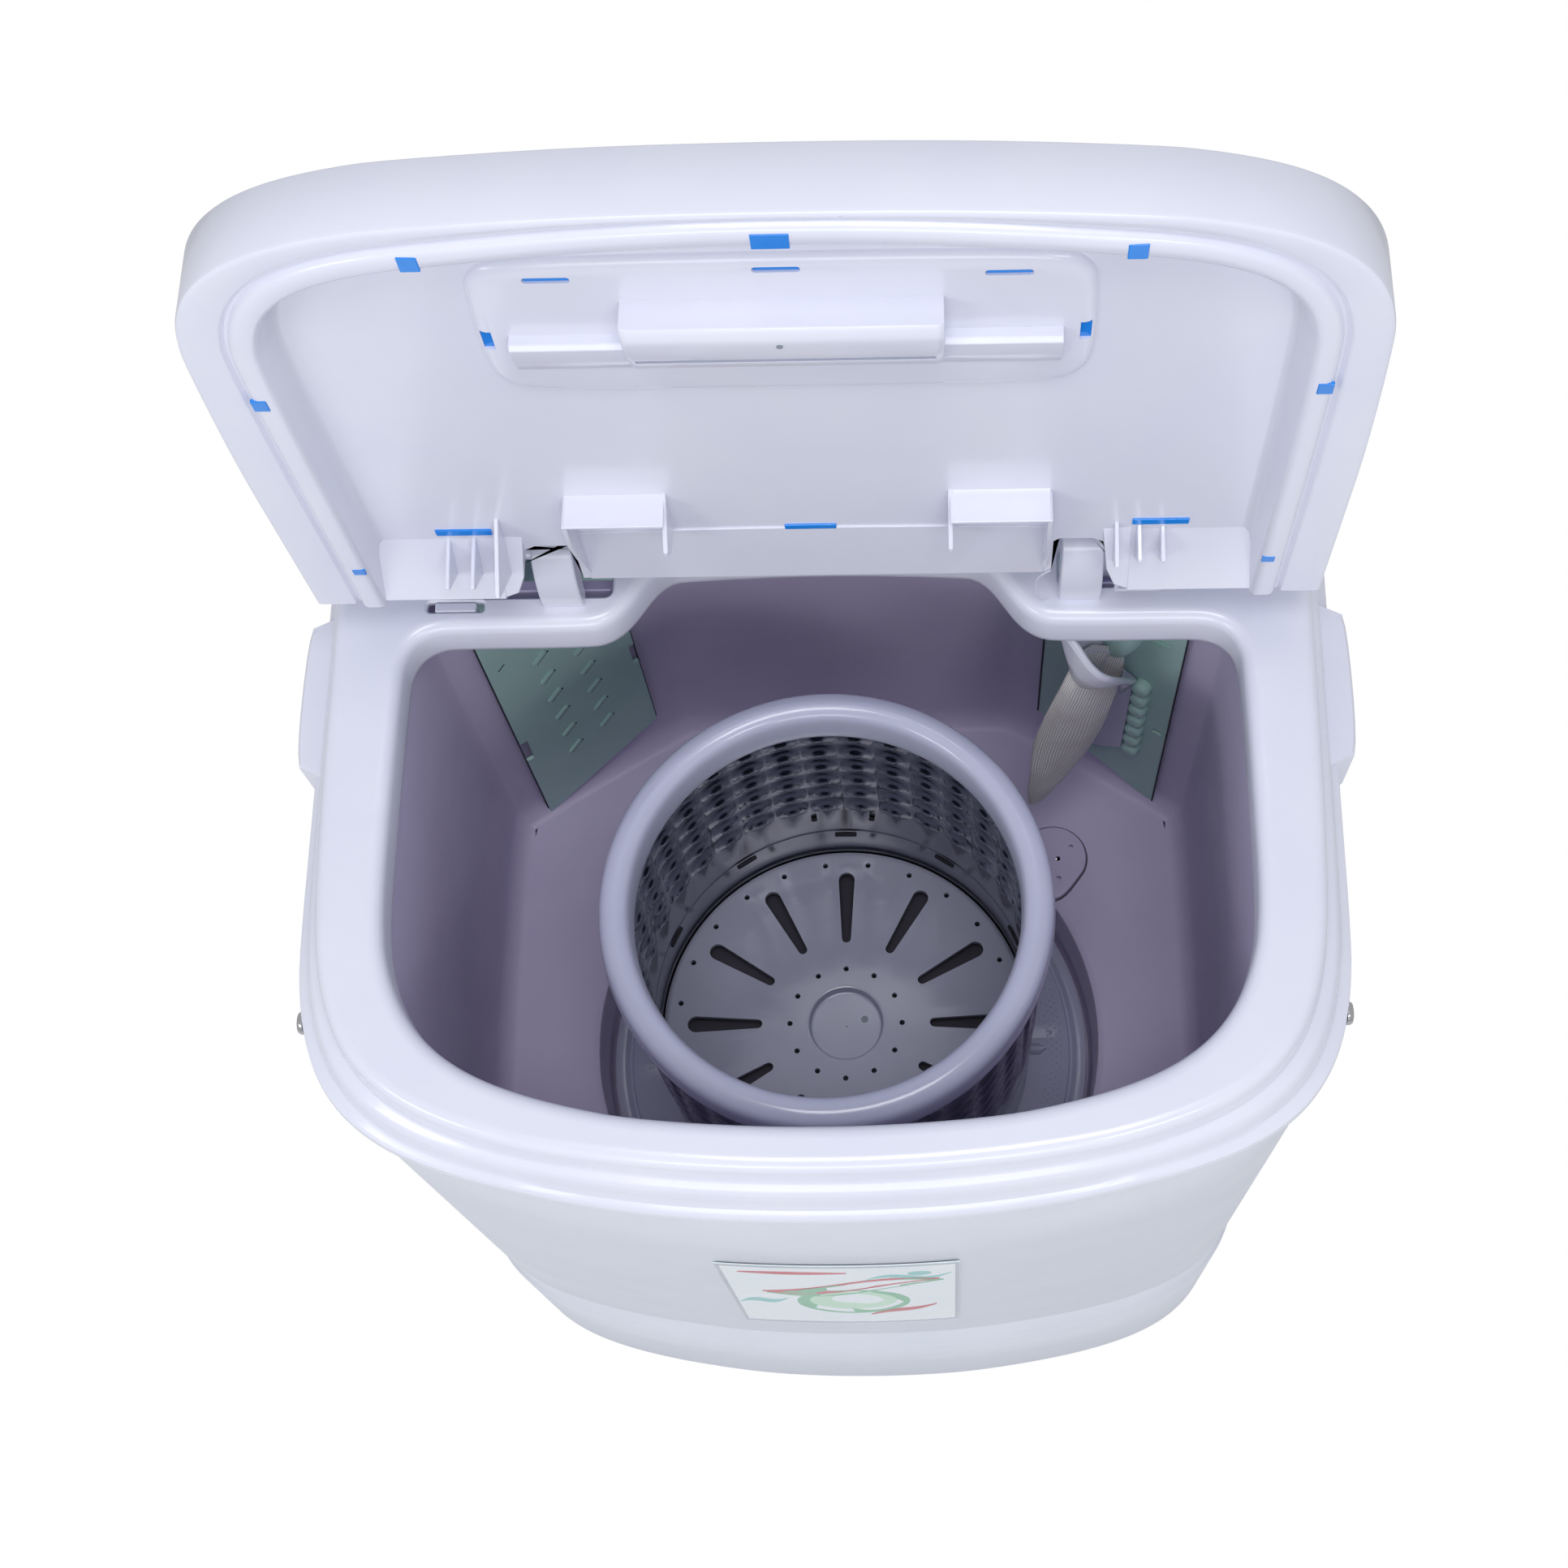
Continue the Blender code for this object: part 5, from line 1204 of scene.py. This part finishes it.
    bm = new()
    side_line = grown(lid_side(0.0410), -0.0036, closed=False)
    rows = []
    for grow, y in ((0, LID_BACK + 0.0003), (0, 0.1335), (-0.0004, 0.1350),
                    (-0.0014, 0.1362), (-0.0028, 0.1368), (-0.0045, LID_COVER_BACK),
                    (-0.0060, LID_COVER_BACK)):
        rows.append([(x, y, z) for x, z in grown(side_line, grow, closed=False)])
    made = rings(bm, rows, closed=False)
    notch = [(0.1620, 0.0410), (0.1620, 0.0600), (0.1600, 0.0620)]
    notch += [(-x, z) for x, z in reversed(notch)]
    levels = [[bm.verts.new((-x, y, z)) for x, z in notch]
              for y in (LID_BACK + 0.0003, LID_COVER_BACK)]
    bm.faces.new(made[0] + levels[0])
    bm.faces.new(made[-1] + levels[1])
    for i in range(len(notch) - 1):
        bm.faces.new((levels[0][i], levels[0][i + 1], levels[1][i + 1], levels[1][i]))
    bm.faces.new([row[-1] for row in made] + [levels[1][0], levels[0][0]])
    bm.faces.new([row[0] for row in made] + [levels[1][-1], levels[0][-1]])
    bmesh.ops.triangulate(bm, faces=[f for f in bm.faces if len(f.verts) > 4])
    handle_way = new()
    prism(handle_way, rounded(0.0560, 0.2140, 0.2560, 0.006), 0.110, 0.150, "y")
    bm = carved(bm, handle_way)
    piece("lid_blue_cover", bm, "blue_cover", "lid", ["lid_cover"],
          aim=((0.1, LID_COVER_BACK, 0.15), (0, 1, 0)))


def make_handle():
    """The grip moulding inside the lid: a shallow plateau, two side pads and a hood."""
    outline = [(0.0, 0.2806), (0.060, 0.2802), (0.1016, 0.2786), (0.1092, 0.2710),
               (0.1112, 0.2620), (0.1124, 0.2310), (0.1112, 0.2100), (0.1067, 0.2015),
               (0.0980, 0.1965), (0.060, 0.1950), (0.0, 0.1948)]
    outline = softened(outline + [(-x, z) for x, z in reversed(outline[1:-1])], 2)
    bm = new()
    rings(bm, [[(x, y, z) for x, z in grown(outline, grow)] for grow, y in
               ((0, LID_FLOOR + 0.0004), (-0.0002, 0.1204), (-0.0012, 0.1190),
                (-0.0030, 0.1180), (-0.0045, 0.1176))], caps=(True, True))
    cutter = new()
    for x, z in ((-0.0808, 0.2700), (-0.0006, 0.2742), (0.0798, 0.2700)):
        part = new()
        prism(part, [(px + x, pz) for px, pz in rounded(0.0084, z - 0.0016, z + 0.0016,
                                                        0.0014)], 0.110, 0.1190, "y")
        merged(cutter, part)
    for side in (-1, 1):
        block(cutter, (min(side * 0.1060, side * 0.1102), 0.110, 0.2268),
              (max(side * 0.1060, side * 0.1102), 0.1195, 0.2382))
    bm = carved(bm, cutter)
    hollow = new()
    prism(hollow, rounded(0.0535, 0.2165, 0.2535, 0.005), 0.112, 0.130, "y")
    piece("grip_plateau", carved(bm, hollow), "white_plastic", "lid", ["lid_handle_cup"])

    bm = new()
    section = [(0.1190, 0.2360), (0.1136, 0.2355), (0.1122, 0.2335), (0.1132, 0.2250),
               (0.1165, 0.2150), (0.1190, 0.2120)]
    prism(bm, section, -0.1000, 0.1000, "x")
    shape = new()
    section = [(0.1190, 0.2568), (0.1056, 0.2562), (0.1042, 0.2540), (0.1040, 0.2480),
               (0.1060, 0.2360), (0.1110, 0.2230), (0.1190, 0.2145)]
    rows = []
    for x, pull in ((-0.0572, 0.0016), (-0.0560, 0.0005), (-0.0545, 0), (0.0545, 0),
                    (0.0560, 0.0005), (0.0572, 0.0016)):
        rows.append([(x, min(y + pull, 0.1190), z) for y, z in section])
    rings(shape, rows, caps=(True, True))
    inner = new()
    block(inner, (-0.0540, 0.1065, 0.2300), (0.0540, 0.1300, 0.2535))
    bm = carved(bm, shape, "UNION")
    bm = carved(bm, inner)
    piece("grip_hood", bm, "white_plastic", "lid", bevel=0.0013)

    bm = new()
    for x, z in ((-0.0808, 0.2700), (-0.0006, 0.2742), (0.0798, 0.2700)):
        block(bm, (x - 0.0080, 0.1186, z - 0.0015), (x + 0.0080, 0.1192, z + 0.0015))
    for side in (-1, 1):
        low, high = sorted((side * 0.1058, side * 0.1104))
        block(bm, (low, 0.1192, 0.2266), (high, 0.1198, 0.2384))
    piece("grip_windows", bm, "blue_cover", "lid")
    bm = new()
    prism(bm, [(x - 0.001, z) for x, z in circle(0.0012, 16, (0, 0.2470))], 0.1037, 0.1042,
          "y")
    piece("grip_mark", bm, "white_plastic", "lid", material=INK["grey"])


# ---- console ----------------------------------------------------------------------------
CONSOLE_MIDDLE = Vector((0, (CONSOLE_FRONT + CONSOLE_BACK) / 2,
                         (CONSOLE_LOW + CONSOLE_HIGH) / 2))


def tilted(bm, x=0.0, lift=0.0):
    """Move a shape made about the origin onto the console's sloping top."""
    turn = Matrix.Rotation(SLOPE, 3, "X")
    bmesh.ops.translate(bm, verts=bm.verts, vec=(0, 0, lift))
    bmesh.ops.rotate(bm, verts=bm.verts, matrix=turn)
    bmesh.ops.translate(bm, verts=bm.verts, vec=CONSOLE_MIDDLE + Vector((x, 0, 0)))
    return bm


def make_console():
    def slope(y):
        return CONSOLE_LOW + (y - CONSOLE_FRONT) * sin(SLOPE) / cos(SLOPE)

    def level(grow, drop):
        plan = grown(rounded(CONSOLE_HALF, CONSOLE_FRONT, CONSOLE_BACK, 0.022, 12), grow)
        return [(x, y, slope(y) - drop) for x, y in plan]

    def floor(grow, z):
        return at_height(grown(rounded(CONSOLE_HALF, CONSOLE_FRONT, CONSOLE_BACK, 0.022,
                                       12), grow), z)

    bm = new()
    outer = [floor(-0.0006, 0.0003), floor(0, 0.0012), level(0, 0.0062),
             level(-0.0004, 0.0036), level(-0.0014, 0.0016), level(-0.0032, 0.0004),
             level(-0.0052, 0.0), level(-0.0062, 0.0)]
    inner = [level(-0.0080, 0.0025), level(-0.0040, 0.0038), level(-0.0025, 0.0080),
             floor(-0.0025, 0.0003)]
    skin = rings(bm, [inner[-1]] + outer)
    lining = rings(bm, inner)
    bm.faces.new(skin[-1])
    bm.faces.new(lining[0])
    cutter = new()
    block(cutter, (0.1200, 0.140, -0.010), (0.1640, 0.1600, 0.0480))
    for x in (-KNOB_X, 0, KNOB_X):
        shape = new()
        prism(shape, circle(0.0050, 24), -0.030, 0.030)
        merged(cutter, tilted(shape, x))
    bm = carved(bm, cutter)
    inlet = new()
    prism(inlet, circle(0.0113, 32, (-0.2205, 0.1870)), 0.050, 0.120)
    piece("console_shell", carved(bm, inlet), "white_plastic",
          stands_for=["console_cover"])

    bm = new()
    plate = [(x, y) for x, y in rounded(0.2050, -0.0260, 0.0260, 0.0060)]
    rings(bm, [at_height(grown(plate, grow), z) for grow, z in
               ((0, 0.0003), (0, 0.0010), (-0.0004, 0.0013))], caps=(True, True))
    cutter = new()
    for x in (-KNOB_X, 0, KNOB_X):
        prism(cutter, circle(0.0050, 24, (x, 0)), -0.010, 0.010)
    piece("control_plate", tilted(carved(bm, cutter)), "label_film",
          stands_for=["control_panel"])

    for index, (name, body) in enumerate((("wash_timer_knob", "wash_timer_dial"),
                                          ("mode_knob", "mode_dial"),
                                          ("drain_knob", "drain_dial"))):
        x = (index - 1) * KNOB_X
        bm = new()
        turned(bm, [(0.0003, -0.0140), (0.0003, 0.0149), (0.0105, 0.0149),
                    (0.0120, 0.0144), (0.0126, 0.0132), (0.0132, 0.0060),
                    (0.0142, 0.0042), (0.0176, 0.0034), (0.0187, 0.0026),
                    (0.0190, 0.0010), (0.0188, 0.0), (0.0035, 0.0), (0.0035, -0.0140)], 96)
        fluting = new()
        prism(fluting, circle(0.0011, 10, (0.0134, 0)), 0.0050, 0.0125)
        merged(bm, repeated(fluting, FINISH["white_plastic"], 28, turn=tau / 28))
        piece(name + "_cap", tilted(bm, x, 0.0018), "white_plastic", body, [name])
        bm = new()
        prism(bm, [(-0.0006, 0.0030), (0.0006, 0.0030), (0.0006, 0.0116),
                   (-0.0006, 0.0116)], 0.0148, 0.01515)
        piece(name + "_pointer", tilted(bm, x, 0.0018), "blue_cover", body)

        sweep = (285, 180, 90)[index]
        count = (20, 3, 2)[index]
        tick = new()
        prism(tick, [(0.0207, -0.0002), (0.0232, -0.0002), (0.0232, 0.0002),
                     (0.0207, 0.0002)], 0.0012, 0.00145)
        step = radians(sweep) / (count - 1)
        ticks = repeated(tick, INK["grey"], count, turn=step)
        lead = pi / 2 - radians(sweep) / (2 if index == 1 else 1)
        bmesh.ops.rotate(ticks, verts=ticks.verts, matrix=Matrix.Rotation(lead, 3, "Z"))
        piece(f"dial_ticks_{index}", tilted(ticks, x), "label_film", material=INK["grey"])
        band = new()
        prism(band, rounded(0.0260, -0.0245, -0.0228, 0.0006), 0.0012, 0.0014)
        piece(f"dial_band_{index}", tilted(band, x), "label_film", material=INK["teal"])


# ---- corner panels and lint filter --------------------------------------------------------
def panel_point(u, n, z, side):
    place = PANEL_EDGE + PANEL_ALONG * u + PANEL_INWARD * n
    return Vector((side * place.x, place.y, z))


def on_panel(bm, side):
    """Move a shape made as (along the panel, into the tub, height) onto its corner."""
    for vert in bm.verts:
        vert.co = panel_point(*vert.co, side)
    return bm


def make_panels():
    outline = [(0.0, -0.3000), (PANEL_WIDTH, -0.2580), (PANEL_WIDTH, PANEL_TOP),
               (0.0, PANEL_TOP)]
    for side, node_name, low, high in ((-1, "water_channel_cover", 0.0, PANEL_THICK),
                                       (1, "filter_panel", -PANEL_THICK, 0.0)):
        bm = new()
        prism(bm, outline, low, high, "y")
        cutter = new()
        if side < 0:
            block(cutter, (-0.001, -0.01, -0.220), (0.0044, 0.01, -0.197))
            block(cutter, (PANEL_WIDTH - 0.003, -0.01, -0.177), (0.079, 0.01, -0.157))
        else:
            block(cutter, (0.003, -0.01, -0.203), (0.008, 0.01, -0.199))
        piece(node_name + "_moulded", on_panel(carved(bm, cutter), side), "green_plastic",
              stands_for=[node_name], bevel=0.0005)

    slit = new()
    half, thick = 0.0046, 0.0009
    across = [(-half, -half * 0.86), (-half + thick, -half * 0.86 - thick),
              (half, half * 0.86), (half - thick, half * 0.86 + thick)]
    prism(slit, across, 0, 1, "y")
    for vert in slit.verts:
        vert.co.y = PANEL_THICK + (0.00015 if vert.co.y > 0.5 else -0.001)
    hood = new()
    lip = [(-half - 0.0005, -half * 0.86 + 0.0012), (half - 0.0012, half * 0.86 + 0.0022),
           (half - 0.0024, half * 0.86 + 0.0040), (-half - 0.0014, -half * 0.86 + 0.0034)]
    rings(hood, [[(a, PANEL_THICK - 0.0002, b) for a, b in lip],
                 [(a * 0.92, PANEL_THICK + 0.0014, b * 0.92 + 0.0002) for a, b in lip]],
          caps=(True, True))
    # painted shade: dark fills in the slits stand in for the shade under each louvre hood
    dark, lips = new(), new()
    for u, z, count in ((0.0290, -0.1170, 6), (0.0505, -0.1310, 5)):
        for shape, target, ink in ((slit, dark, INK["gap"]), (hood, lips,
                                                             FINISH["green_plastic"])):
            part = shape.copy()
            bmesh.ops.translate(part, verts=part.verts, vec=(u, 0, z))
            merged(target, repeated(part, ink, 1, count, along=(0, 0, -0.0236)))
    small = slit.copy()
    bmesh.ops.scale(small, verts=small.verts, vec=(0.5, 1, 0.5))
    bmesh.ops.translate(small, verts=small.verts, vec=(0.008, 0, -0.104))
    merged(dark, small)
    slit.free()
    hood.free()
    piece("channel_slit_shade", on_panel(dark, -1), "green_plastic", material=INK["gap"])
    piece("channel_slit_hoods", on_panel(lips, -1), "green_plastic")
    # painted shade: thin dark strips along each panel's edges stand in for the shade in the
    # gaps beside them
    for side in (-1, 1):
        edges = new()
        for u in (-0.0007, PANEL_WIDTH + 0.0001):
            low = -0.3005 if u < 0.01 else -0.2580
            block(edges, (u, -0.0004, low), (u + 0.0007, 0.0004, PANEL_TOP))
        piece("channel_gap_shade" if side < 0 else "filter_gap_shade", on_panel(edges, side),
              "green_plastic", material=INK["gap"])

    tooth = new()
    rings(tooth, [[(0.0178 + 0.0052 * cos(a) * reach, n, -0.1515 + 0.0060 * sin(a) * reach)
                   for a in (tau * i / 20 for i in range(20))]
                  for reach, n in ((1, -0.0005), (1, 0.0030), (0.93, 0.0046), (0.72, 0.0058),
                                   (0.4, 0.0063))], caps=(True, True))
    comb = repeated(tooth, FINISH["green_plastic"], 1, 7, along=(0, 0, -0.0136))
    piece("comb_teeth", on_panel(comb, 1), "green_plastic")
    slats = new()
    for index in range(3):
        z = -0.0935 - 0.0030 * index
        block(slats, (0.0080 + 0.002 * index, 0.0, z), (0.0180, 0.0016, z + 0.0012))
    piece("top_slats", on_panel(slats, 1), "green_plastic", bevel=0.0003)


def make_filter():
    """Slide-in lint filter: a plate, an open funnel and its net bag."""
    plate = [(0.0226, -0.1470), (0.0598, -0.1300), (0.0598, -0.2580), (0.0560, -0.2600),
             (0.0360, -0.2500), (0.0240, -0.2380), (0.0226, -0.2340)]
    bm = new()
    prism(bm, plate, 0.0005, 0.0042, "y")
    block(bm, (0.0560, 0.0005, -0.1400), (0.0598, 0.0042, -0.0405))
    piece("filter_plate", on_panel(bm, 1), "grey_plastic", "lint_filter",
          ["filter_frame"], bevel=0.0008)

    lip = [(0.0230, 0.0022, -0.1480), (0.0226, 0.0120, -0.1290), (0.0222, 0.0240, -0.1050),
           (0.0225, 0.0365, -0.0800), (0.0260, 0.0415, -0.0700), (0.0315, 0.0438, -0.0600),
           (0.0360, 0.0444, -0.0500), (0.0396, 0.0442, -0.0440), (0.0470, 0.0415, -0.0420),
           (0.0530, 0.0370, -0.0420), (0.0575, 0.0290, -0.0420), (0.0594, 0.0180, -0.0420),
           (0.0594, 0.0022, -0.0420)]
    lip = [Vector(p) for p in softened(lip, 3, closed=False)]
    middle = Vector((0.0337, 0.0253, -0.0985))
    neck_ring = [middle + Vector((-0.0070, -0.0133, -0.0275)) * cos(a)
                 + Vector((0, 0.0120, 0)) * sin(a)
                 for a in (tau * i / 96 for i in range(96))]

    def neck_point(point):
        """The bag's mouth in the direction of a point of the lip."""
        out = (point - middle).xy.normalized()
        return max(neck_ring, key=lambda p: (p - middle).xy.dot(out))

    necks = [neck_point(point) for point in lip]
    for _ in range(6):
        necks = ([necks[0]] + [(a + b + c) / 3 for a, b, c in
                               zip(necks, necks[1:], necks[2:])] + [necks[-1]])
    bm = new()
    rows = [lip]
    for share in (0.12, 0.35, 0.65, 1.0):
        row = []
        for top, low in zip(lip, necks):
            point = top.lerp(low, share ** 1.4)
            point.z = top.z + (low.z - 0.004 - top.z) * share if low.z < top.z else (
                top.z - 0.010 * share)
            row.append(point)
        rows.append(row)
    rings(bm, rows, closed=False)
    piece("filter_funnel", on_panel(bm, 1), "grey_plastic", "lint_filter", crease=70,
          skin=0.0016, material=FINISH["white_plastic"])
    bm = new()
    tube(bm, lip, 0.0016, 10)
    piece("funnel_lip", on_panel(bm, 1), "grey_plastic", "lint_filter",
          material=FINISH["white_plastic"])
    bm = new()
    rings(bm, [[(0.0385 + 0.0185 * reach * cos(a), n, -0.0830 + 0.0400 * reach * sin(a))
                for a in (tau * i / 48 for i in range(48))]
               for reach, n in ((1, 0.0001), (0.97, 0.0050), (0.88, 0.0098), (0.70, 0.0132),
                                (0.42, 0.0150), (0.15, 0.0156))], caps=(True, True))
    piece("channel_bulge", on_panel(bm, 1), "green_plastic", crease=60)

    bag = new()
    layer = bag.loops.layers.uv.new("cloth")
    inward = Vector((-0.5306, -0.8476, 0))
    hoops = [((0.1335, 0.1345, -0.0985), (0.0130, 0.0075, -0.0275), 0.0120),
             ((0.1305, 0.1328, -0.1150), (0.0148, 0.0068, -0.0200), 0.0125),
             ((0.1262, 0.1300, -0.1350), (0.0165, 0.0060, -0.0120), 0.0125),
             ((0.1232, 0.1280, -0.1520), (0.0170, 0.0050, -0.0085), 0.0120),
             ((0.1205, 0.1265, -0.1680), (0.0168, 0.0040, -0.0060), 0.0110),
             ((0.1178, 0.1235, -0.1830), (0.0150, 0.0036, -0.0040), 0.0102),
             ((0.1150, 0.1200, -0.1960), (0.0125, 0.0030, -0.0020), 0.0090),
             ((0.1115, 0.1172, -0.2080), (0.0100, 0.0025, -0.0010), 0.0070),
             ((0.1085, 0.1145, -0.2170), (0.0075, 0.0020, 0.0), 0.0050),
             ((0.1062, 0.1125, -0.2275), (0.0045, 0.0010, 0.0), 0.0022)]
    steps = 64
    noise.seed_set(5)     # the same ripples on every run
    lengths, rows = [0.0], []
    for index, (centre, half, depth) in enumerate(hoops):
        centre, half = Vector(centre), Vector(half)
        row = []
        for i in range(steps + 1):
            a = -pi / 2 + 0.02 + (tau - 0.04) * i / steps     # a sewn seam at the back
            pleat = 1 + 0.028 * sin(7 * a + 0.5 * index) + 0.014 * sin(13 * a - index)
            point = centre + half * cos(a) * pleat + inward * depth * sin(a) * pleat
            point += 0.0008 * noise.noise_vector(point * 90)
            row.append(bag.verts.new(point))
        rows.append(row)
        if index:
            lengths.append(lengths[-1] + (centre - Vector(hoops[index - 1][0])).length)
    girth = 0.086
    for j in range(len(rows) - 1):
        for i in range(steps):
            face = bag.faces.new((rows[j][i], rows[j][i + 1], rows[j + 1][i + 1],
                                  rows[j + 1][i]))
            for loop, (a, b) in zip(face.loops, ((i, j), (i + 1, j), (i + 1, j + 1),
                                                 (i, j + 1))):
                loop[layer].uv = (girth * a / steps, lengths[b])
    tip = [rows[-1][i] for i in range(steps)]
    end = bag.faces.new(tip)
    for i, loop in enumerate(end.loops):
        loop[layer].uv = (0.0005 * cos(tau * i / steps), lengths[-1] + 0.001)
    bmesh.ops.remove_doubles(bag, verts=bag.verts, dist=1e-5)
    area = sum(face.calc_area() for face in bag.faces)
    net = piece("net_bag", bag, "filter_net", "lint_filter", ["filter_bag"], crease=80,
                aim=((0.118, 0.118, -0.16), (-0.53, -0.85, 0)))


# ---- nodes kept from the frame ------------------------------------------------------------
def dress_kept():
    """Give the working parts that stay as packed the finish of their slot."""
    slots = {"screw_nickel": ("drive_shaft", "drain_pull_rod", "upper_bearing",
                              "lower_bearing"),
             "grey_plastic": ("drain_valve", "drain_spout", "control_tray", "wash_timer",
                              "mode_selector", "drain_selector", "water_inlet",
                              "capacitor"),
             "rubber": ("drain_plug", "drive_belt", "shaft_seal"),
             "black_plastic": ("drive_pulley", "motor_pulley", "cord_gland", "lid_switch"),
             "motor_steel": ("bearing_housing", "motor", "motor_bracket"),
             "body_plastic": ("bottom_cover",)}
    for slot, names in slots.items():
        for name in names:
            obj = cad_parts[name]
            obj.data.materials.clear()
            obj.data.materials.append(FINISH[slot])


# ---- surroundings -------------------------------------------------------------------------
def area_light(name, place, target, size, power):
    data = bpy.data.lights.new(name, "AREA")
    data.shape, data.size, data.size_y = "RECTANGLE", size[0], size[1]
    data.energy = power
    obj = bpy.data.objects.new(name, data)
    bpy.context.scene.collection.objects.link(obj)
    obj.location = place
    obj.rotation_euler = (Vector(target) - Vector(place)).to_track_quat("-Z", "Y").to_euler()
    return obj


def make_surroundings():
    """White studio: a bright floor, a white sky and four soft boxes."""
    bpy.ops.mesh.primitive_plane_add(size=14)
    floor = bpy.context.object
    floor.name = "studio_floor"
    made, tree = empty_material("studio_white")
    seen = node(tree, "ShaderNodeLightPath").outputs["Is Camera Ray"]
    cloth = node(tree, "ShaderNodeBsdfDiffuse", {"Color": linear("E8E8EA")})
    bright = node(tree, "ShaderNodeEmission", {"Color": linear("FFFFFF"), "Strength": 1.0})
    shader = node(tree, "ShaderNodeMixShader", {0: seen, 1: cloth.outputs[0],
                                                2: bright.outputs[0]})
    floor.data.materials.append(finish(made, tree, shader))

    world = bpy.data.worlds.new("white_sky")
    bpy.context.scene.world = world
    world.use_nodes = True
    world.node_tree.nodes.clear()
    sky = node(world.node_tree, "ShaderNodeBackground",
               {"Color": linear("FAFBFF"), "Strength": 0.57})
    node(world.node_tree, "ShaderNodeOutputWorld", {"Surface": sky.outputs[0]})

    area_light("left_box", (-1.2, -1.1, 1.5), (0, 0, 0.6), (0.60, 0.30), 4.0)
    area_light("right_box", (0.75, -1.3, 1.9), (0, 0, 0.6), (0.45, 0.25), 3.0)
    area_light("top_box", (0.10, -0.40, 2.4), (0, 0, 0.5), (0.80, 0.50), 9.0)
    area_light("front_box", (0, -2.2, 1.5), (0, 0.1, 0.85), (1.30, 0.70), 10.0)

    data = bpy.data.cameras.new("camera")
    data.lens, data.sensor_width = 51.40, 36.0
    data.shift_x, data.shift_y = -0.06356, -0.03168
    data.clip_start = 0.05
    camera = bpy.data.objects.new("camera", data)
    bpy.context.scene.collection.objects.link(camera)
    right = Vector((0.99959, -0.00173, -0.02869)).normalized()
    back = Vector((0.02583, -0.3836, 0.92314)).normalized()
    up = back.cross(right).normalized()
    turn = Matrix((right, up, back)).transposed().to_4x4()
    camera.matrix_world = Matrix.Translation((0.05435, -0.3583, 1.54177)) @ turn
    bpy.context.scene.camera = camera
    bpy.context.scene.view_settings.view_transform = "Standard"


make_upper_frame()
make_cabinet()
make_base()
make_side_fittings()
make_label()
make_tub()
make_pulsator()
make_basket()
make_lid()
make_handle()
make_console()
make_panels()
make_filter()
dress_kept()
make_surroundings()
